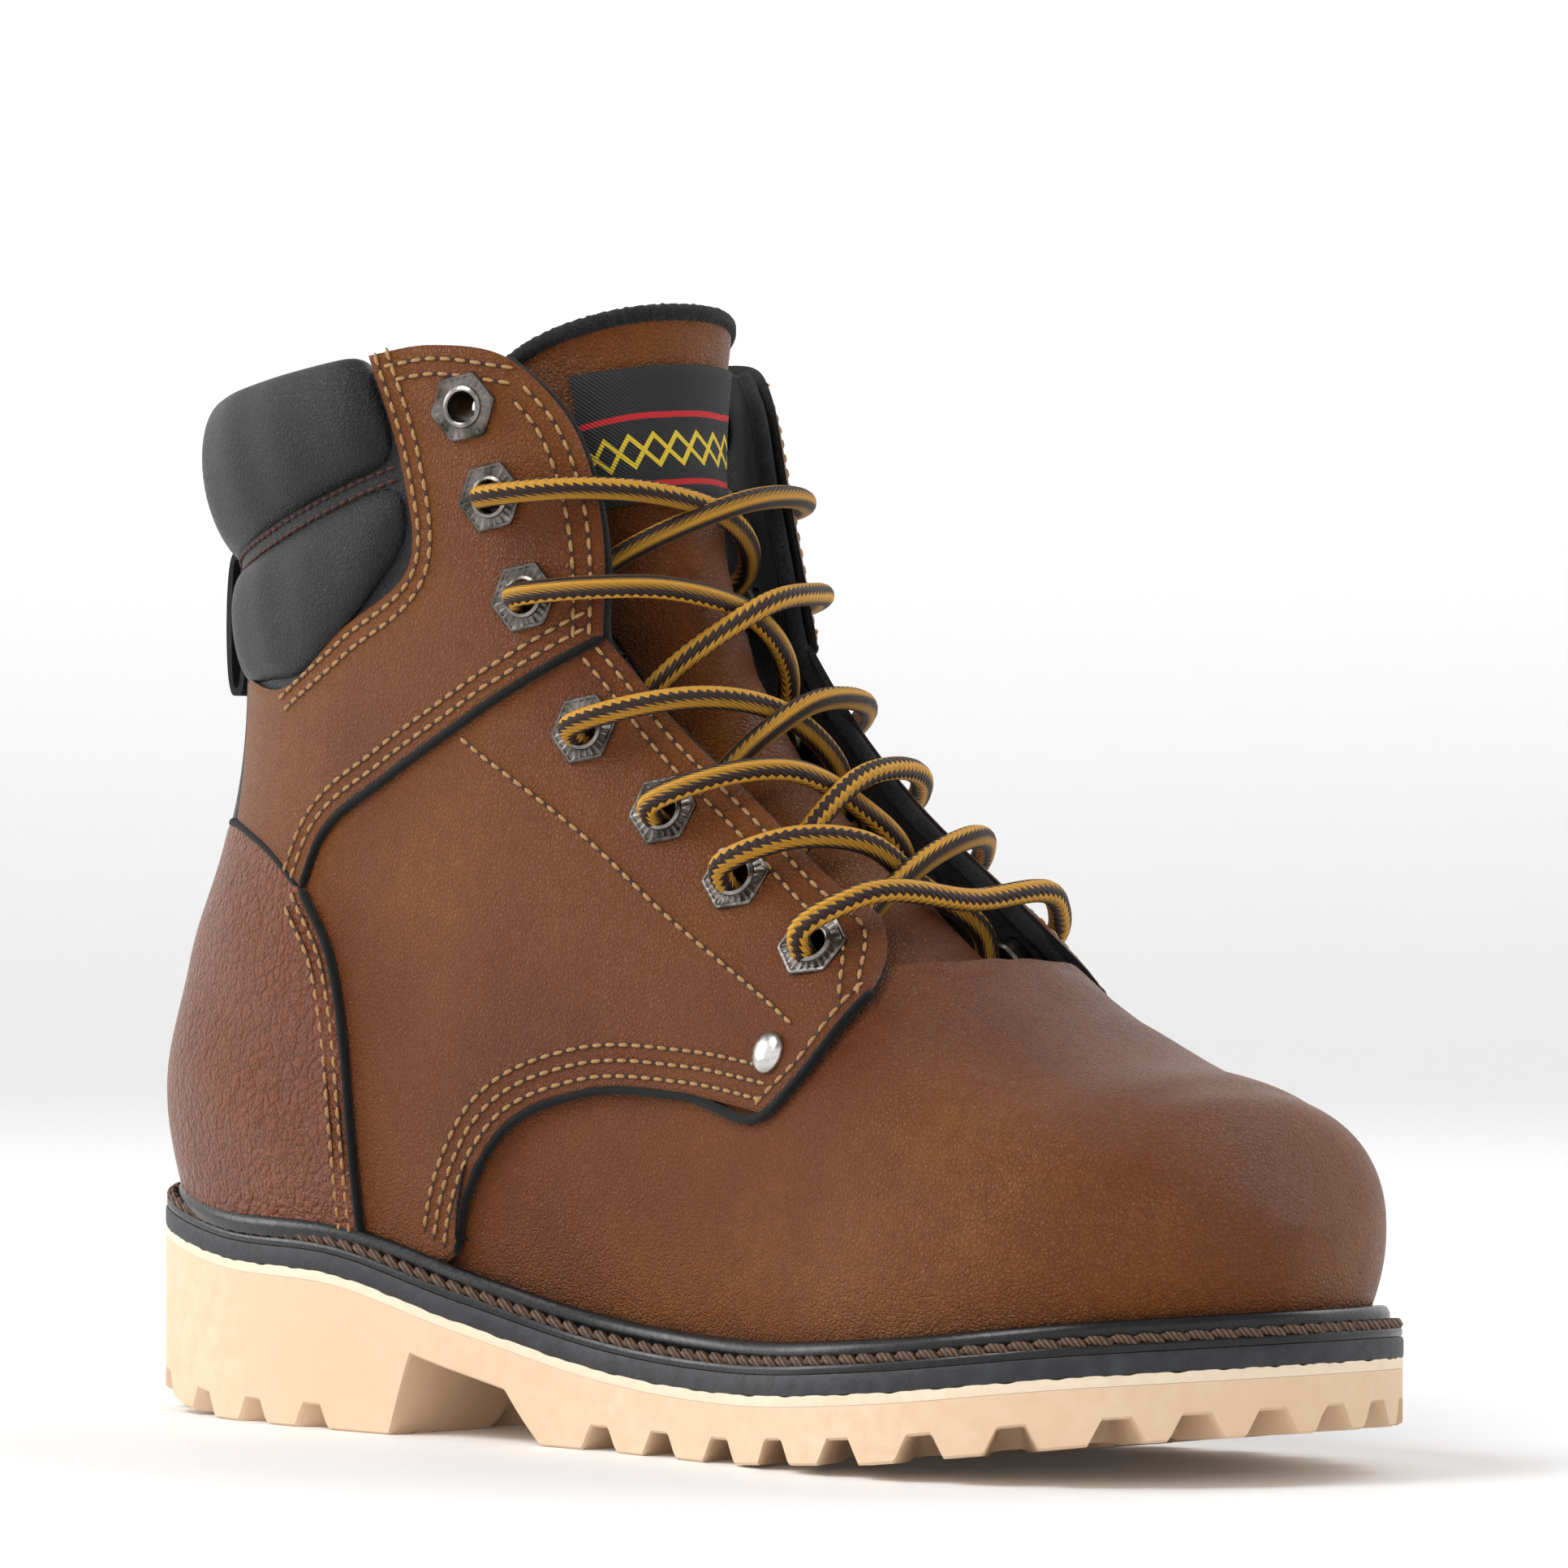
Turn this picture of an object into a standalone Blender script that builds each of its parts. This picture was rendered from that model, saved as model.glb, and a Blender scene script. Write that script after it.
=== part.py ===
"""A six-inch steel toe work boot for the right foot, built as the shoemaker's separate pieces.

Lengths and stations are in millimetres, and every mesh is scaled to metres as it is made.
+X is the toe, +Y the inner (medial) side, -Y the outer (lateral) side, +Z up.
"""

import math

import bmesh
import bpy
import numpy as np
from mathutils import Matrix, Vector

MM = 0.001
LATERAL, MEDIAL = -1, 1
SIDES = {"lateral": LATERAL, "medial": MEDIAL}

# The sole's outline: half the length, then half-widths at stations along it.
SOLE_HALF = 153.0
SOLE_X = [-153, -143, -120, -90, -50, -5, 40, 75, 105, 132, 148, 153]
SOLE_LATERAL = [0, 23, 34, 40, 42, 41, 47, 54.5, 52.5, 39, 17, 0]
SOLE_MEDIAL = [0, 24, 36, 41, 40, 37, 44, 52, 54, 44, 26, 0]
# The joint line between the pale outsole and the black midsole, and the tread below it.
JOINT_X = [-153, -110, -70, -35, 0, 40, 90, 130, 155]
JOINT_Z = [38, 31, 28.8, 21.2, 14.3, 11.5, 14, 18.3, 20.4]
TREAD_X = [-153, -130, -114, -66, 0, 45, 90, 130, 155]
TREAD_Z = [6, 2, 0, 0, 0, 0, 2.8, 7.6, 9.8]
HEEL_BREAST_X, ARCH_END_X, ARCH_THICKNESS = -54.0, -12.0, 8.0
STRIP, MIDSOLE, WELT, FILLER, BOARD, GAP = 2.0, 4.0, 2.6, 1.4, 2.4, 0.3
GROOVES_X = [-138, -118, -98, -78, 6, 25, 44, 63, 82, 101, 119, 135]
GROOVE_WIDTH, GROOVE_DEPTH = 8.0, 5.5

# The upper: toe and heel ends, the line where it meets the welt, and its profiles.
TOE_X, HEEL_X = 149.5, -149.0
TOE_TUCK, SIDE_TUCK = 0.03, 0.09
FEATHER_RISE = STRIP + MIDSOLE + WELT
TOP_X = [-60, -20, 0, 20, 46, 70, 88, 105, 125, 141, 150]
TOP_Z = [300, 245, 190, 148, 122, 100, 87, 78, 73, 64, 46]
BACK_Z = [30, 48, 66, 92, 125, 155, 190, 220, 235]
BACK_X = [-139, -145.8, -149, -143.5, -131, -127, -131, -131, -129]
FRONT_Z = [20, 70, 90, 103, 124, 148, 185, 220, 235]
FRONT_X = [60, 70, 74, 65, 43, 19, 0, -7, -10]
SHAFT_Z = [30, 60, 100, 135, 165, 200, 235]
SHAFT_HALF = [34, 40, 39, 36, 37, 41, 44]

# Layers, measured outward from the upper's mean surface: (outer face, thickness).
LEATHER = (1.9, 1.9)
VAMP = (-1.4, 1.5)
STIFFENER = (-0.9, 1.6)
TOE_CAP = (-4.8, 1.5)
QUARTER_LINING = (-4.4, 1.0)
VAMP_LINING = (-7.4, 1.0)
PAD = (3.5, 9.0)

# Seams in side view, as (x, z).
COUNTER_EDGE = [(-66, 39), (-65, 60), (-68, 83), (-73, 96), (-83, 108)]
SHAFT_SEAM = [(-83, 108), (-79, 117), (-58, 130.5), (-40, 139.5), (-7, 157)]
FACING = [(-7, 157), (13, 137), (32, 122), (50, 109), (62, 101), (69, 89)]
TIP = [(69, 89), (62, 75), (51, 66)]
VAMP_SEAM = [(51, 66), (25, 69), (-2, 69), (-22, 62), (-34, 48), (-40, 36)]
SHAFT_FRONT = [(-7, 157), (-9, 171), (-13, 187), (-20, 203), (-30, 213)]
PAD_BORDER = [(-59, 214), (-52, 192), (-51, 173), (-72, 160), (-95, 148.5), (-114, 151)]
SHAFT_HEEL = [(-115, 121), (-98, 115.5), (-83, 108)]
BACKSTAY_X, BACKSTAY_Z = -117.5, (120.0, 149.5)
THROAT = [(92, 84), (70, 100), (46, 122), (20, 148), (2, 185), (-8, 226)]
THROAT_REACH = 42.0
TONGUE_WING_SINK = 5.0
# The axes that the moving pieces swing about, both across the boot, as (x, z).
TONGUE_HINGE = (71.0, 86.0)
FOOTBED_HINGE = (138.0, 28.0)
PROBE = 13.0

EYELETS = [(-37, 203), (-31, 185), (-23, 165), (-8, 139), (12, 123), (31, 110), (53, 97)]
EYELET_BORE, EYELET_BARREL, EYELET_FLAT = 3.0, 3.6, 6.4
EYELET_SIDES = 12
RIVET = (51, 77)
LACE_RADIUS = 2.3
AGLET_LENGTH, AGLET_RADIUS = 22.0, 2.0

COLOURS = {
    "cream_rubber": ((0.72, 0.55, 0.36), 0.6, 0.0),
    "pale_rubber": ((0.80, 0.68, 0.50), 0.6, 0.0),
    "black_rubber": ((0.03, 0.03, 0.032), 0.5, 0.0),
    "welt_black": ((0.012, 0.012, 0.013), 0.25, 0.0),
    "cork": ((0.42, 0.26, 0.14), 0.9, 0.0),
    "board": ((0.45, 0.34, 0.22), 0.9, 0.0),
    "spring_steel": ((0.45, 0.45, 0.46), 0.3, 1.0),
    "brown_leather": ((0.30, 0.115, 0.035), 0.45, 0.0),
    "black_leather": ((0.02, 0.02, 0.021), 0.35, 0.0),
    "black_textile": ((0.018, 0.018, 0.02), 0.95, 0.0),
    "footbed_foam": ((0.05, 0.05, 0.055), 0.9, 0.0),
    "antique_metal": ((0.25, 0.24, 0.23), 0.35, 1.0),
    "bright_metal": ((0.62, 0.62, 0.60), 0.25, 1.0),
    "lace_cord": ((0.20, 0.10, 0.03), 0.85, 0.0),
    "aglet_plastic": ((0.05, 0.03, 0.02), 0.3, 0.0),
}

# The lace's centreline in metres, from one aglet to the other.
LACE_POINTS = [
    (-0.028, -0.03, 0.07), (-0.04, -0.031, 0.086), (-0.046, -0.03, 0.106),
    (-0.0485, -0.028, 0.13), (-0.0465, -0.0265, 0.154), (-0.041, -0.024, 0.174),
    (-0.034, -0.024, 0.185), (-0.029, -0.0415, 0.185), (-0.011, -0.032, 0.1865),
    (-0.005, -0.02, 0.186), (-0.004, 0.002, 0.1815), (-0.0155, 0.019, 0.172),
    (-0.0265, 0.022, 0.164), (-0.0205, 0.039, 0.1655), (-0.0065, 0.0315, 0.167),
    (0.0015, 0.0215, 0.167), (0.0095, -0.0025, 0.1635), (-0.003, -0.0195, 0.1475),
    (-0.011, -0.022, 0.137), (-0.006, -0.039, 0.14), (0.0065, -0.0325, 0.144),
    (0.014, -0.021, 0.1455), (0.0165, 0.002, 0.1405), (0.0135, 0.0165, 0.129),
    (0.009, 0.019, 0.12), (0.014, 0.0355, 0.125), (0.0235, 0.029, 0.1295),
    (0.0305, 0.0175, 0.132), (0.035, -0.0025, 0.129), (0.032, -0.0165, 0.1145),
    (0.0285, -0.0195, 0.106), (0.0325, -0.036, 0.113), (0.0425, -0.0285, 0.118),
    (0.049, -0.0145, 0.1175), (0.049, 0.002, 0.109), (0.0515, 0.017, 0.0995),
    (0.051, 0.02, 0.0915), (0.0545, 0.035, 0.1005), (0.06, 0.0285, 0.1065),
    (0.064, 0, 0.1065), (0.061, -0.0285, 0.107), (0.0545, -0.037, 0.101),
    (0.0505, -0.022, 0.0915), (0.051, -0.018, 0.1), (0.0525, -0.0025, 0.113),
    (0.0495, 0.015, 0.1185), (0.0415, 0.028, 0.1175), (0.0325, 0.0345, 0.1125),
    (0.0285, 0.018, 0.106), (0.0315, 0.0155, 0.1145), (0.0315, 0.002, 0.125),
    (0.0305, -0.017, 0.1315), (0.0245, -0.0295, 0.13), (0.014, -0.037, 0.125),
    (0.009, -0.0205, 0.12), (0.0135, -0.0175, 0.1295), (0.0205, -0.0025, 0.1435),
    (0.014, 0.0215, 0.1455), (0.0055, 0.0315, 0.1435), (-0.006, 0.038, 0.14),
    (-0.011, 0.0205, 0.137), (-0.0035, 0.0185, 0.147), (0.005, 0.002, 0.161),
    (0.002, -0.021, 0.167), (-0.0055, -0.0325, 0.167), (-0.021, -0.04, 0.1655),
    (-0.026, -0.023, 0.164), (-0.015, -0.0195, 0.1725), (0.0005, -0.0025, 0.1835),
    (-0.0045, 0.02, 0.1865), (-0.0115, 0.0315, 0.186), (-0.029, 0.041, 0.185),
    (-0.034, 0.024, 0.185), (-0.041, 0.023, 0.174), (-0.0465, 0.0255, 0.154),
    (-0.0485, 0.027, 0.13), (-0.046, 0.029, 0.106), (-0.04, 0.03, 0.086),
    (-0.028, 0.029, 0.07),
]


def smooth(x, stations, values):
    """Values read from a smooth cubic curve through the stations, level beyond its ends."""
    xs = np.asarray(stations, float)
    ys = np.asarray(values, float)
    x = np.clip(np.asarray(x, float), xs[0], xs[-1])
    width = np.diff(xs)
    slope = np.diff(ys) / width
    tangent = np.empty_like(ys)
    tangent[1:-1] = (slope[:-1] * width[1:] + slope[1:] * width[:-1]) / (width[:-1] + width[1:])
    tangent[0] = slope[0]
    tangent[-1] = slope[-1]
    i = np.clip(np.searchsorted(xs, x, side="right") - 1, 0, len(width) - 1)
    t = (x - xs[i]) / width[i]
    ends = ys[i] * (1 + 2 * t) * (1 - t) ** 2 + ys[i + 1] * t * t * (3 - 2 * t)
    bends = tangent[i] * t * (1 - t) ** 2 + tangent[i + 1] * t * t * (t - 1)
    return ends + width[i] * bends


def along(points, t):
    """Points at fractions t of the length of a smooth line through the given (x, z) points."""
    points = np.asarray(points, float)
    steps = np.hypot(*np.diff(points, axis=0).T)
    at = np.concatenate([[0], np.cumsum(steps)]) / steps.sum()
    return smooth(t, at, points[:, 0]), smooth(t, at, points[:, 1])


def sole_half_width(x, side):
    """Half-width of the sole at x, read over the angle whose cosine is x so that its ends are round."""
    stations = np.arccos(-np.asarray(SOLE_X) / SOLE_HALF)
    at = np.arccos(np.clip(-np.asarray(x, float) / SOLE_HALF, -1, 1))
    return smooth(at, stations, SOLE_LATERAL if side == LATERAL else SOLE_MEDIAL)


def joint_z(x):
    return smooth(x, JOINT_X, JOINT_Z)


def feather_z(x):
    """Height of the line where the upper meets the welt."""
    return joint_z(x) + FEATHER_RISE


def belly_z(x):
    """Height at which the foot part is widest."""
    return feather_z(x) + smooth(x, [-150, 0, 80, 150], [20, 20, 19, 17])


def tuck(x, z):
    """How far the wall has tucked in below the belly line: 1 is 20 mm below it."""
    return np.clip((belly_z(x) - z) / 20, 0, 1.5) ** 2


def foot_half_width(x, z, side):
    """Half-width of the foot part: a bulging wall low down, and a super-elliptic vault above it."""
    belly = belly_z(x)
    rise = np.maximum(smooth(x, TOP_X, TOP_Z) - belly, 1.0)
    below = tuck(x, z)
    middle = (TOE_X + HEEL_X) / 2
    sole_x = (x / (1 - TOE_TUCK * below) - middle) / ((TOE_X - HEEL_X) / 2) * SOLE_HALF
    inset = smooth(x, [-150, -60, 0, 60, 110, 150], [0, 6, 7, 5, 3, 0])
    widest = np.maximum(sole_half_width(sole_x, side) - inset, 0) * (np.abs(sole_x) < SOLE_HALF)
    power = smooth(x, [0, 60, 110, 150], [1.9, 2.0, 2.5, 2.4])
    vault = np.clip(1 - (np.clip(z - belly, 0, None) / rise) ** power, 0, 1) ** (1 / 2.3)
    heelward = smooth(x, [-105, -60, -30], [0, 0.75, 1])
    return heelward * widest * np.where(z > belly, vault, 1 - SIDE_TUCK * below)


def shaft_half_width(x, z):
    """Half-width of the heel and shaft part, whose level sections are egg-shaped."""
    back = smooth(z, BACK_Z, BACK_X)
    front = smooth(z, FRONT_Z, FRONT_X)
    s = np.clip((x - back) / (front - back), 0, 1)
    widest_at = smooth(z, [30, 100, 150, 220], [0.30, 0.36, 0.46, 0.47])
    t = np.where(s < widest_at, (widest_at - s) / widest_at, (s - widest_at) / (1 - widest_at))
    return smooth(z, SHAFT_Z, SHAFT_HALF) * np.clip(1 - t**2.15, 0, 1) ** (1 / 2.1)


def half_width(x, z, side):
    """Half-width of the whole upper at (x, z): the two parts run together by a high power mean."""
    foot = foot_half_width(x, z, side)
    shaft = shaft_half_width(x, z)
    return (foot**7 + shaft**7) ** (1 / 7)


def inside(point):
    side = np.where(point[..., 1] < 0, LATERAL, MEDIAL)
    x, y, z = point[..., 0], np.abs(point[..., 1]), point[..., 2]
    limit = np.where(side == LATERAL, half_width(x, z, LATERAL), half_width(x, z, MEDIAL))
    return y < limit


def cast(origin, direction, longest=220.0):
    """The points where rays from inside leave the upper's surface, found by halving."""
    low = np.zeros(direction.shape[:-1])
    high = np.full(direction.shape[:-1], longest)
    for _ in range(26):
        middle = (low + high) / 2
        within = inside(origin + direction * middle[..., None])
        low = np.where(within, middle, low)
        high = np.where(within, high, middle)
    return origin + direction * low[..., None]


def on_side(x, z, side):
    return np.stack([x, side * half_width(x, z, side), z], axis=-1)


def coons(bottom, top, left, right, u, v):
    """A side-view patch between four edges: the two ruled patches less the corners' bilinear one."""
    edges = [np.stack(along(edge, t), -1) for edge, t in ((bottom, u), (top, u), (left, v), (right, v))]
    u, v = u[:, None], v[:, None]
    corner = [np.asarray(p, float) for p in (bottom[0], bottom[-1], top[0], top[-1])]
    flat = (1 - v) * ((1 - u) * corner[0] + u * corner[1]) + v * ((1 - u) * corner[2] + u * corner[3])
    patch = (1 - v) * edges[0] + v * edges[1] + (1 - u) * edges[2] + u * edges[3] - flat
    return patch[:, 0], patch[:, 1]


def wrap_heel(x_edge, z, u, axis_x=-82.0):
    """Points around the heel at height z: u runs -1..1 from x_edge on the outer side to the inner."""
    x_edge = x_edge + 0 * z
    reach = np.where(u < 0, half_width(x_edge, z, LATERAL), half_width(x_edge, z, MEDIAL))
    heading = np.arctan2(reach, axis_x - x_edge) * u
    direction = np.stack([-np.cos(heading), np.sin(heading), 0 * z], -1)
    origin = np.stack([axis_x + 0 * z, 0 * z, z], -1)
    return cast(origin, direction)


def vault(x, v):
    """Points over the foot at x: v runs -1..1 from the outer feather line over the top to the inner."""
    belly = belly_z(x)
    turn = np.clip(np.abs(v) / 0.7, 0, 1) * math.pi / 2
    side = np.sign(v + 1e-9)
    direction = np.stack([0 * x, side * np.sin(turn), np.cos(turn)], -1)
    upper = cast(np.stack([x, 0 * x, belly], -1), direction)
    drop = np.clip((np.abs(v) - 0.7) / 0.3, 0, 1)
    z = belly + (feather_z(x) - belly) * drop
    wall_x = x * (1 - TOE_TUCK * tuck(x, z))
    width = np.where(side < 0, half_width(wall_x, z, LATERAL), half_width(wall_x, z, MEDIAL)) * (x < TOE_X)
    lower = np.stack([wall_x, side * width, z], -1)
    return np.where((np.abs(v) > 0.7)[:, None], lower, upper)


def throat(t, angle):
    """Points on the instep: t runs up the throat's centre line, and angle turns away from it."""
    x, z = along(THROAT, t)
    ahead_x, ahead_z = along(THROAT, np.minimum(t + 0.01, 1))
    behind_x, behind_z = along(THROAT, np.maximum(t - 0.01, 0))
    run = np.stack([ahead_x - behind_x, 0 * x, ahead_z - behind_z], -1)
    run /= np.linalg.norm(run, axis=-1, keepdims=True)
    out = np.stack([run[:, 2], 0 * x, -run[:, 0]], -1)
    origin = np.stack([x, 0 * x, z], -1) - THROAT_REACH * out
    sideways = np.array([0.0, 1.0, 0.0])
    return cast(origin, out * np.cos(angle)[:, None] + sideways * np.sin(angle)[:, None])


def material(name):
    made = bpy.data.materials.get(name)
    if made:
        return made
    colour, roughness, metallic = COLOURS[name]
    made = bpy.data.materials.new(name)
    made.use_nodes = True
    shader = made.node_tree.nodes["Principled BSDF"]
    shader.inputs["Base Color"].default_value = (*colour, 1)
    shader.inputs["Roughness"].default_value = roughness
    shader.inputs["Metallic"].default_value = metallic
    made.diffuse_color = (*colour, 1)
    return made


def finish(mesh_builder, name, look, collection, recalculate=True):
    """An object from a bmesh whose vertices are in millimetres."""
    if recalculate:
        bmesh.ops.recalc_face_normals(mesh_builder, faces=mesh_builder.faces)
    bmesh.ops.scale(mesh_builder, vec=(MM, MM, MM), verts=mesh_builder.verts)
    mesh = bpy.data.meshes.new(name)
    mesh_builder.to_mesh(mesh)
    mesh_builder.free()
    mesh.materials.append(material(look))
    obj = bpy.data.objects.new(name, mesh)
    collection.objects.link(obj)
    return obj


def sheet(name, shape, segments, layer, look, collection):
    """A shell: a grid laid on a surface by shape(u, v), moved out to its layer and thickened inward."""
    outer, thickness = layer
    builder = bmesh.new()
    bmesh.ops.create_grid(builder, x_segments=segments[0], y_segments=segments[1], size=0.5)
    grid = np.array([vert.co[:2] for vert in builder.verts]) + 0.5
    points = shape(grid[:, 0], grid[:, 1])
    for vert, point in zip(builder.verts, points):
        vert.co = point
    bmesh.ops.remove_doubles(builder, verts=builder.verts, dist=0.05)
    builder.normal_update()
    centres = np.array([face.calc_center_median() for face in builder.faces])
    ahead = PROBE * np.array([face.normal for face in builder.faces])
    if inside(centres + ahead).sum() > inside(centres - ahead).sum():
        bmesh.ops.reverse_faces(builder, faces=builder.faces)
    obj = finish(builder, name, look, collection, recalculate=False)
    displace = obj.modifiers.new("layer", "DISPLACE")
    displace.mid_level = 0
    displace.strength = outer * MM
    solidify = obj.modifiers.new("thickness", "SOLIDIFY")
    solidify.thickness = thickness * MM
    solidify.offset = -1
    return obj


def join_loops(builder, loops, cyclic):
    """Quads between closed loops of equal length, the last joined to the first if cyclic."""
    rings = [[builder.verts.new(point) for point in loop] for loop in loops]
    count = len(rings[0])
    pairs = list(zip(rings, rings[1:] + rings[:1] if cyclic else rings[1:]))
    for low, high in pairs:
        for i in range(count):
            j = (i + 1) % count
            builder.faces.new((low[i], low[j], high[j], high[i]))
    return rings


def slab(name, loops, look, collection):
    """A closed slab through stacked loops, capped by strips that run across from side to side."""
    builder = bmesh.new()
    rings = join_loops(builder, loops, cyclic=False)
    for ring in (rings[0], rings[-1]):
        count = len(ring)
        builder.faces.new((ring[0], ring[1], ring[-1]))
        for i in range(1, count // 2 - 1):
            builder.faces.new((ring[i], ring[i + 1], ring[count - i - 1], ring[count - i]))
        half = count // 2
        builder.faces.new((ring[half - 1], ring[half], ring[half + 1]))
    bmesh.ops.triangulate(builder, faces=builder.faces)
    return finish(builder, name, look, collection)


def band(name, loops, look, collection):
    """A closed ring whose section has one corner for each loop."""
    builder = bmesh.new()
    join_loops(builder, loops, cyclic=True)
    bmesh.ops.triangulate(builder, faces=builder.faces)
    return finish(builder, name, look, collection)


def inset_loop(x, y, inset, height):
    """A closed loop moved inward by inset along its own normals, at height(x)."""
    run_x = np.roll(x, -1) - np.roll(x, 1)
    run_y = np.roll(y, -1) - np.roll(y, 1)
    length = np.hypot(run_x, run_y)
    x = x - run_y / length * inset
    y = y + run_x / length * inset
    return np.stack([x, y, height(x)], -1)


def sole_loop(inset, height, count=56):
    """The sole's outline, from the heel round the outer side to the toe and back."""
    turn = np.arange(count) / count * 2 * math.pi
    x = -(SOLE_HALF - 0.01) * np.cos(turn)
    y = np.where(turn < math.pi, -sole_half_width(x, LATERAL), sole_half_width(x, MEDIAL))
    return inset_loop(x, y, inset, height)


def upper_loop(inset, height, count=56):
    """The upper's outline at the feather line."""
    turn = np.arange(count) / count * 2 * math.pi
    ends = np.array([HEEL_X, TOE_X])
    origin = np.stack([0.9 * ends, 0 * ends, feather_z(ends)], -1)
    back, front = cast(origin, np.array([[-1.0, 0, 0], [1.0, 0, 0]]))[:, 0]
    x = (back + front) / 2 - (front - back) / 2 * np.cos(turn)
    outer = half_width(x, feather_z(x), LATERAL)
    inner = half_width(x, feather_z(x), MEDIAL)
    return inset_loop(x, np.where(turn < math.pi, -outer, inner), inset, height)


def above_joint(rise):
    return lambda x: joint_z(x) + rise


def tread_z(x):
    """Underside of the outsole: the tread line, lifted to a thin waist between heel and forefoot."""
    waist = joint_z(x) - ARCH_THICKNESS
    rising = np.clip((x - HEEL_BREAST_X) / 6, 0, 1) * np.clip((ARCH_END_X - x) / 10, 0, 1)
    return np.interp(x, TREAD_X, TREAD_Z) * (1 - rising) + waist * rising


def outsole(collection, cutters):
    """The pale lugged outsole, with grooves cut across the heel and the forefoot."""
    builder = bmesh.new()
    stations = [-152.9, -151, -146, -138, -128, -114, -98, -80, -66, HEEL_BREAST_X - 0.5, HEEL_BREAST_X + 6.5]
    stations += [-40, -30, ARCH_END_X - 10.5, ARCH_END_X, 0, 15, 30, 45, 60, 75, 90, 104, 117, 128, 137]
    stations += [144, 149, 151.8, 152.9]
    x = np.array(stations, float)
    sides = [(-sole_half_width(x, LATERAL)), sole_half_width(x, MEDIAL)]
    heights = [joint_z(x) - GAP, tread_z(x)]
    corners = [(sides[0], heights[1]), (sides[1], heights[1]), (sides[1], heights[0]), (sides[0], heights[0])]
    loops = [[(x[i], y[i], z[i]) for y, z in corners] for i in range(len(x))]
    rings = join_loops(builder, loops, cyclic=False)
    builder.faces.new(rings[0])
    builder.faces.new(rings[-1])
    bmesh.ops.triangulate(builder, faces=builder.faces)
    sole = finish(builder, "outsole", "cream_rubber", collection)
    for x in GROOVES_X:
        floor = float(np.interp(x, TREAD_X, TREAD_Z))
        groove(f"groove_{x}", x, floor, cutters)
    cut = sole.modifiers.new("grooves", "BOOLEAN")
    cut.operand_type = "COLLECTION"
    cut.collection = cutters
    return sole


def groove(name, x, floor, cutters):
    """A cutter of trapezoid section that runs right across the sole."""
    builder = bmesh.new()
    half, narrow = GROOVE_WIDTH / 2 + 1.2, GROOVE_WIDTH / 2 - 1.2
    section = [(-half, -6), (half, -6), (narrow, GROOVE_DEPTH), (-narrow, GROOVE_DEPTH)]
    loops = [[(x + dx, y, floor + dz) for dx, dz in section] for y in (-70, 70)]
    rings = join_loops(builder, loops, cyclic=False)
    builder.faces.new(rings[0])
    builder.faces.new(rings[-1])
    return finish(builder, name, "cream_rubber", cutters)


def bottom_unit(parts, cutters):
    """The sole's layers from the tread up to the footbed."""
    outsole(parts, cutters)
    slab("outsole_strip", [sole_loop(0.1, above_joint(0)), sole_loop(0.1, above_joint(STRIP - GAP))],
         "pale_rubber", parts)
    base = STRIP
    slab("midsole", [sole_loop(0.1, above_joint(base)), sole_loop(0.1, above_joint(base + MIDSOLE - GAP))],
         "black_rubber", parts)
    base += MIDSOLE
    corners = [(sole_loop, 0.4, 0), (sole_loop, 0.4, WELT - GAP), (upper_loop, -5.8, WELT - GAP),
               (upper_loop, -5.6, WELT + 2.0), (upper_loop, -4.4, WELT + 3.2), (upper_loop, -3.2, WELT + 2.2),
               (upper_loop, -2.6, WELT - GAP), (upper_loop, 9.0, WELT - GAP), (upper_loop, 9.0, 0)]
    band("welt", [line(inset, above_joint(base + rise)) for line, inset, rise in corners],
         "welt_black", parts)
    slab("filler", [upper_loop(10.0, above_joint(base)), upper_loop(10.0, above_joint(base + FILLER - GAP))],
         "cork", parts)
    shank(base + FILLER, WELT - FILLER - GAP, parts)
    base += WELT
    slab("insole_board", [upper_loop(7.6, above_joint(base)), upper_loop(7.6, above_joint(base + BOARD - GAP))],
         "board", parts)
    base += BOARD
    footbed_low, footbed_high = base + 0.4, base + 5.4
    footbed = slab("footbed", [upper_loop(9.4, above_joint(footbed_low)), upper_loop(8.6, above_joint(footbed_high))],
                   "footbed_foam", parts)
    hung("footbed_hinge", FOOTBED_HINGE, (footbed,), parts)


def shank(base, thickness, parts):
    """The spring-steel strip under the arch."""
    builder = bmesh.new()
    x = np.linspace(-98, 8, 15)
    half = 9.0
    loops = []
    for station in x:
        low = float(joint_z(station)) + base
        high = low + thickness
        loops.append([(station, -half, low), (station, half, low), (station, half, high), (station, -half, high)])
    rings = join_loops(builder, loops, cyclic=False)
    builder.faces.new(rings[0])
    builder.faces.new(rings[-1])
    return finish(builder, "shank", "spring_steel", parts)


def inset_line(points, dx, dz):
    return [(x + dx, z + dz) for x, z in points]


def quarter_shape(side):
    right = TIP[::-1] + FACING[::-1][1:]
    bottom = [(-65.2, 39), (-53, 37)] + VAMP_SEAM[::-1]
    left = inset_line(COUNTER_EDGE, 0.9, 0)
    top = [left[-1], *inset_line(SHAFT_SEAM[1:-1], 0.5, -0.6), right[-1]]

    def shape(u, v):
        x, z = coons(bottom, top, left, right, u, v)
        return on_side(x, np.maximum(z, feather_z(x) + 0.4), side)

    return shape


def shaft_shape(side):
    bottom = inset_line(SHAFT_HEEL + SHAFT_SEAM[1:], 0, 0.8)
    top = PAD_BORDER[::-1]
    left = [bottom[0], (-115, 135), top[0]]
    right = [bottom[-1]] + inset_line(SHAFT_FRONT[1:], 0, 0.8) + [(-44, 215.5), top[-1]]

    def shape(u, v):
        x, z = coons(bottom, top, left, right, u, v)
        return on_side(x, z, side)

    return shape


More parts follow.
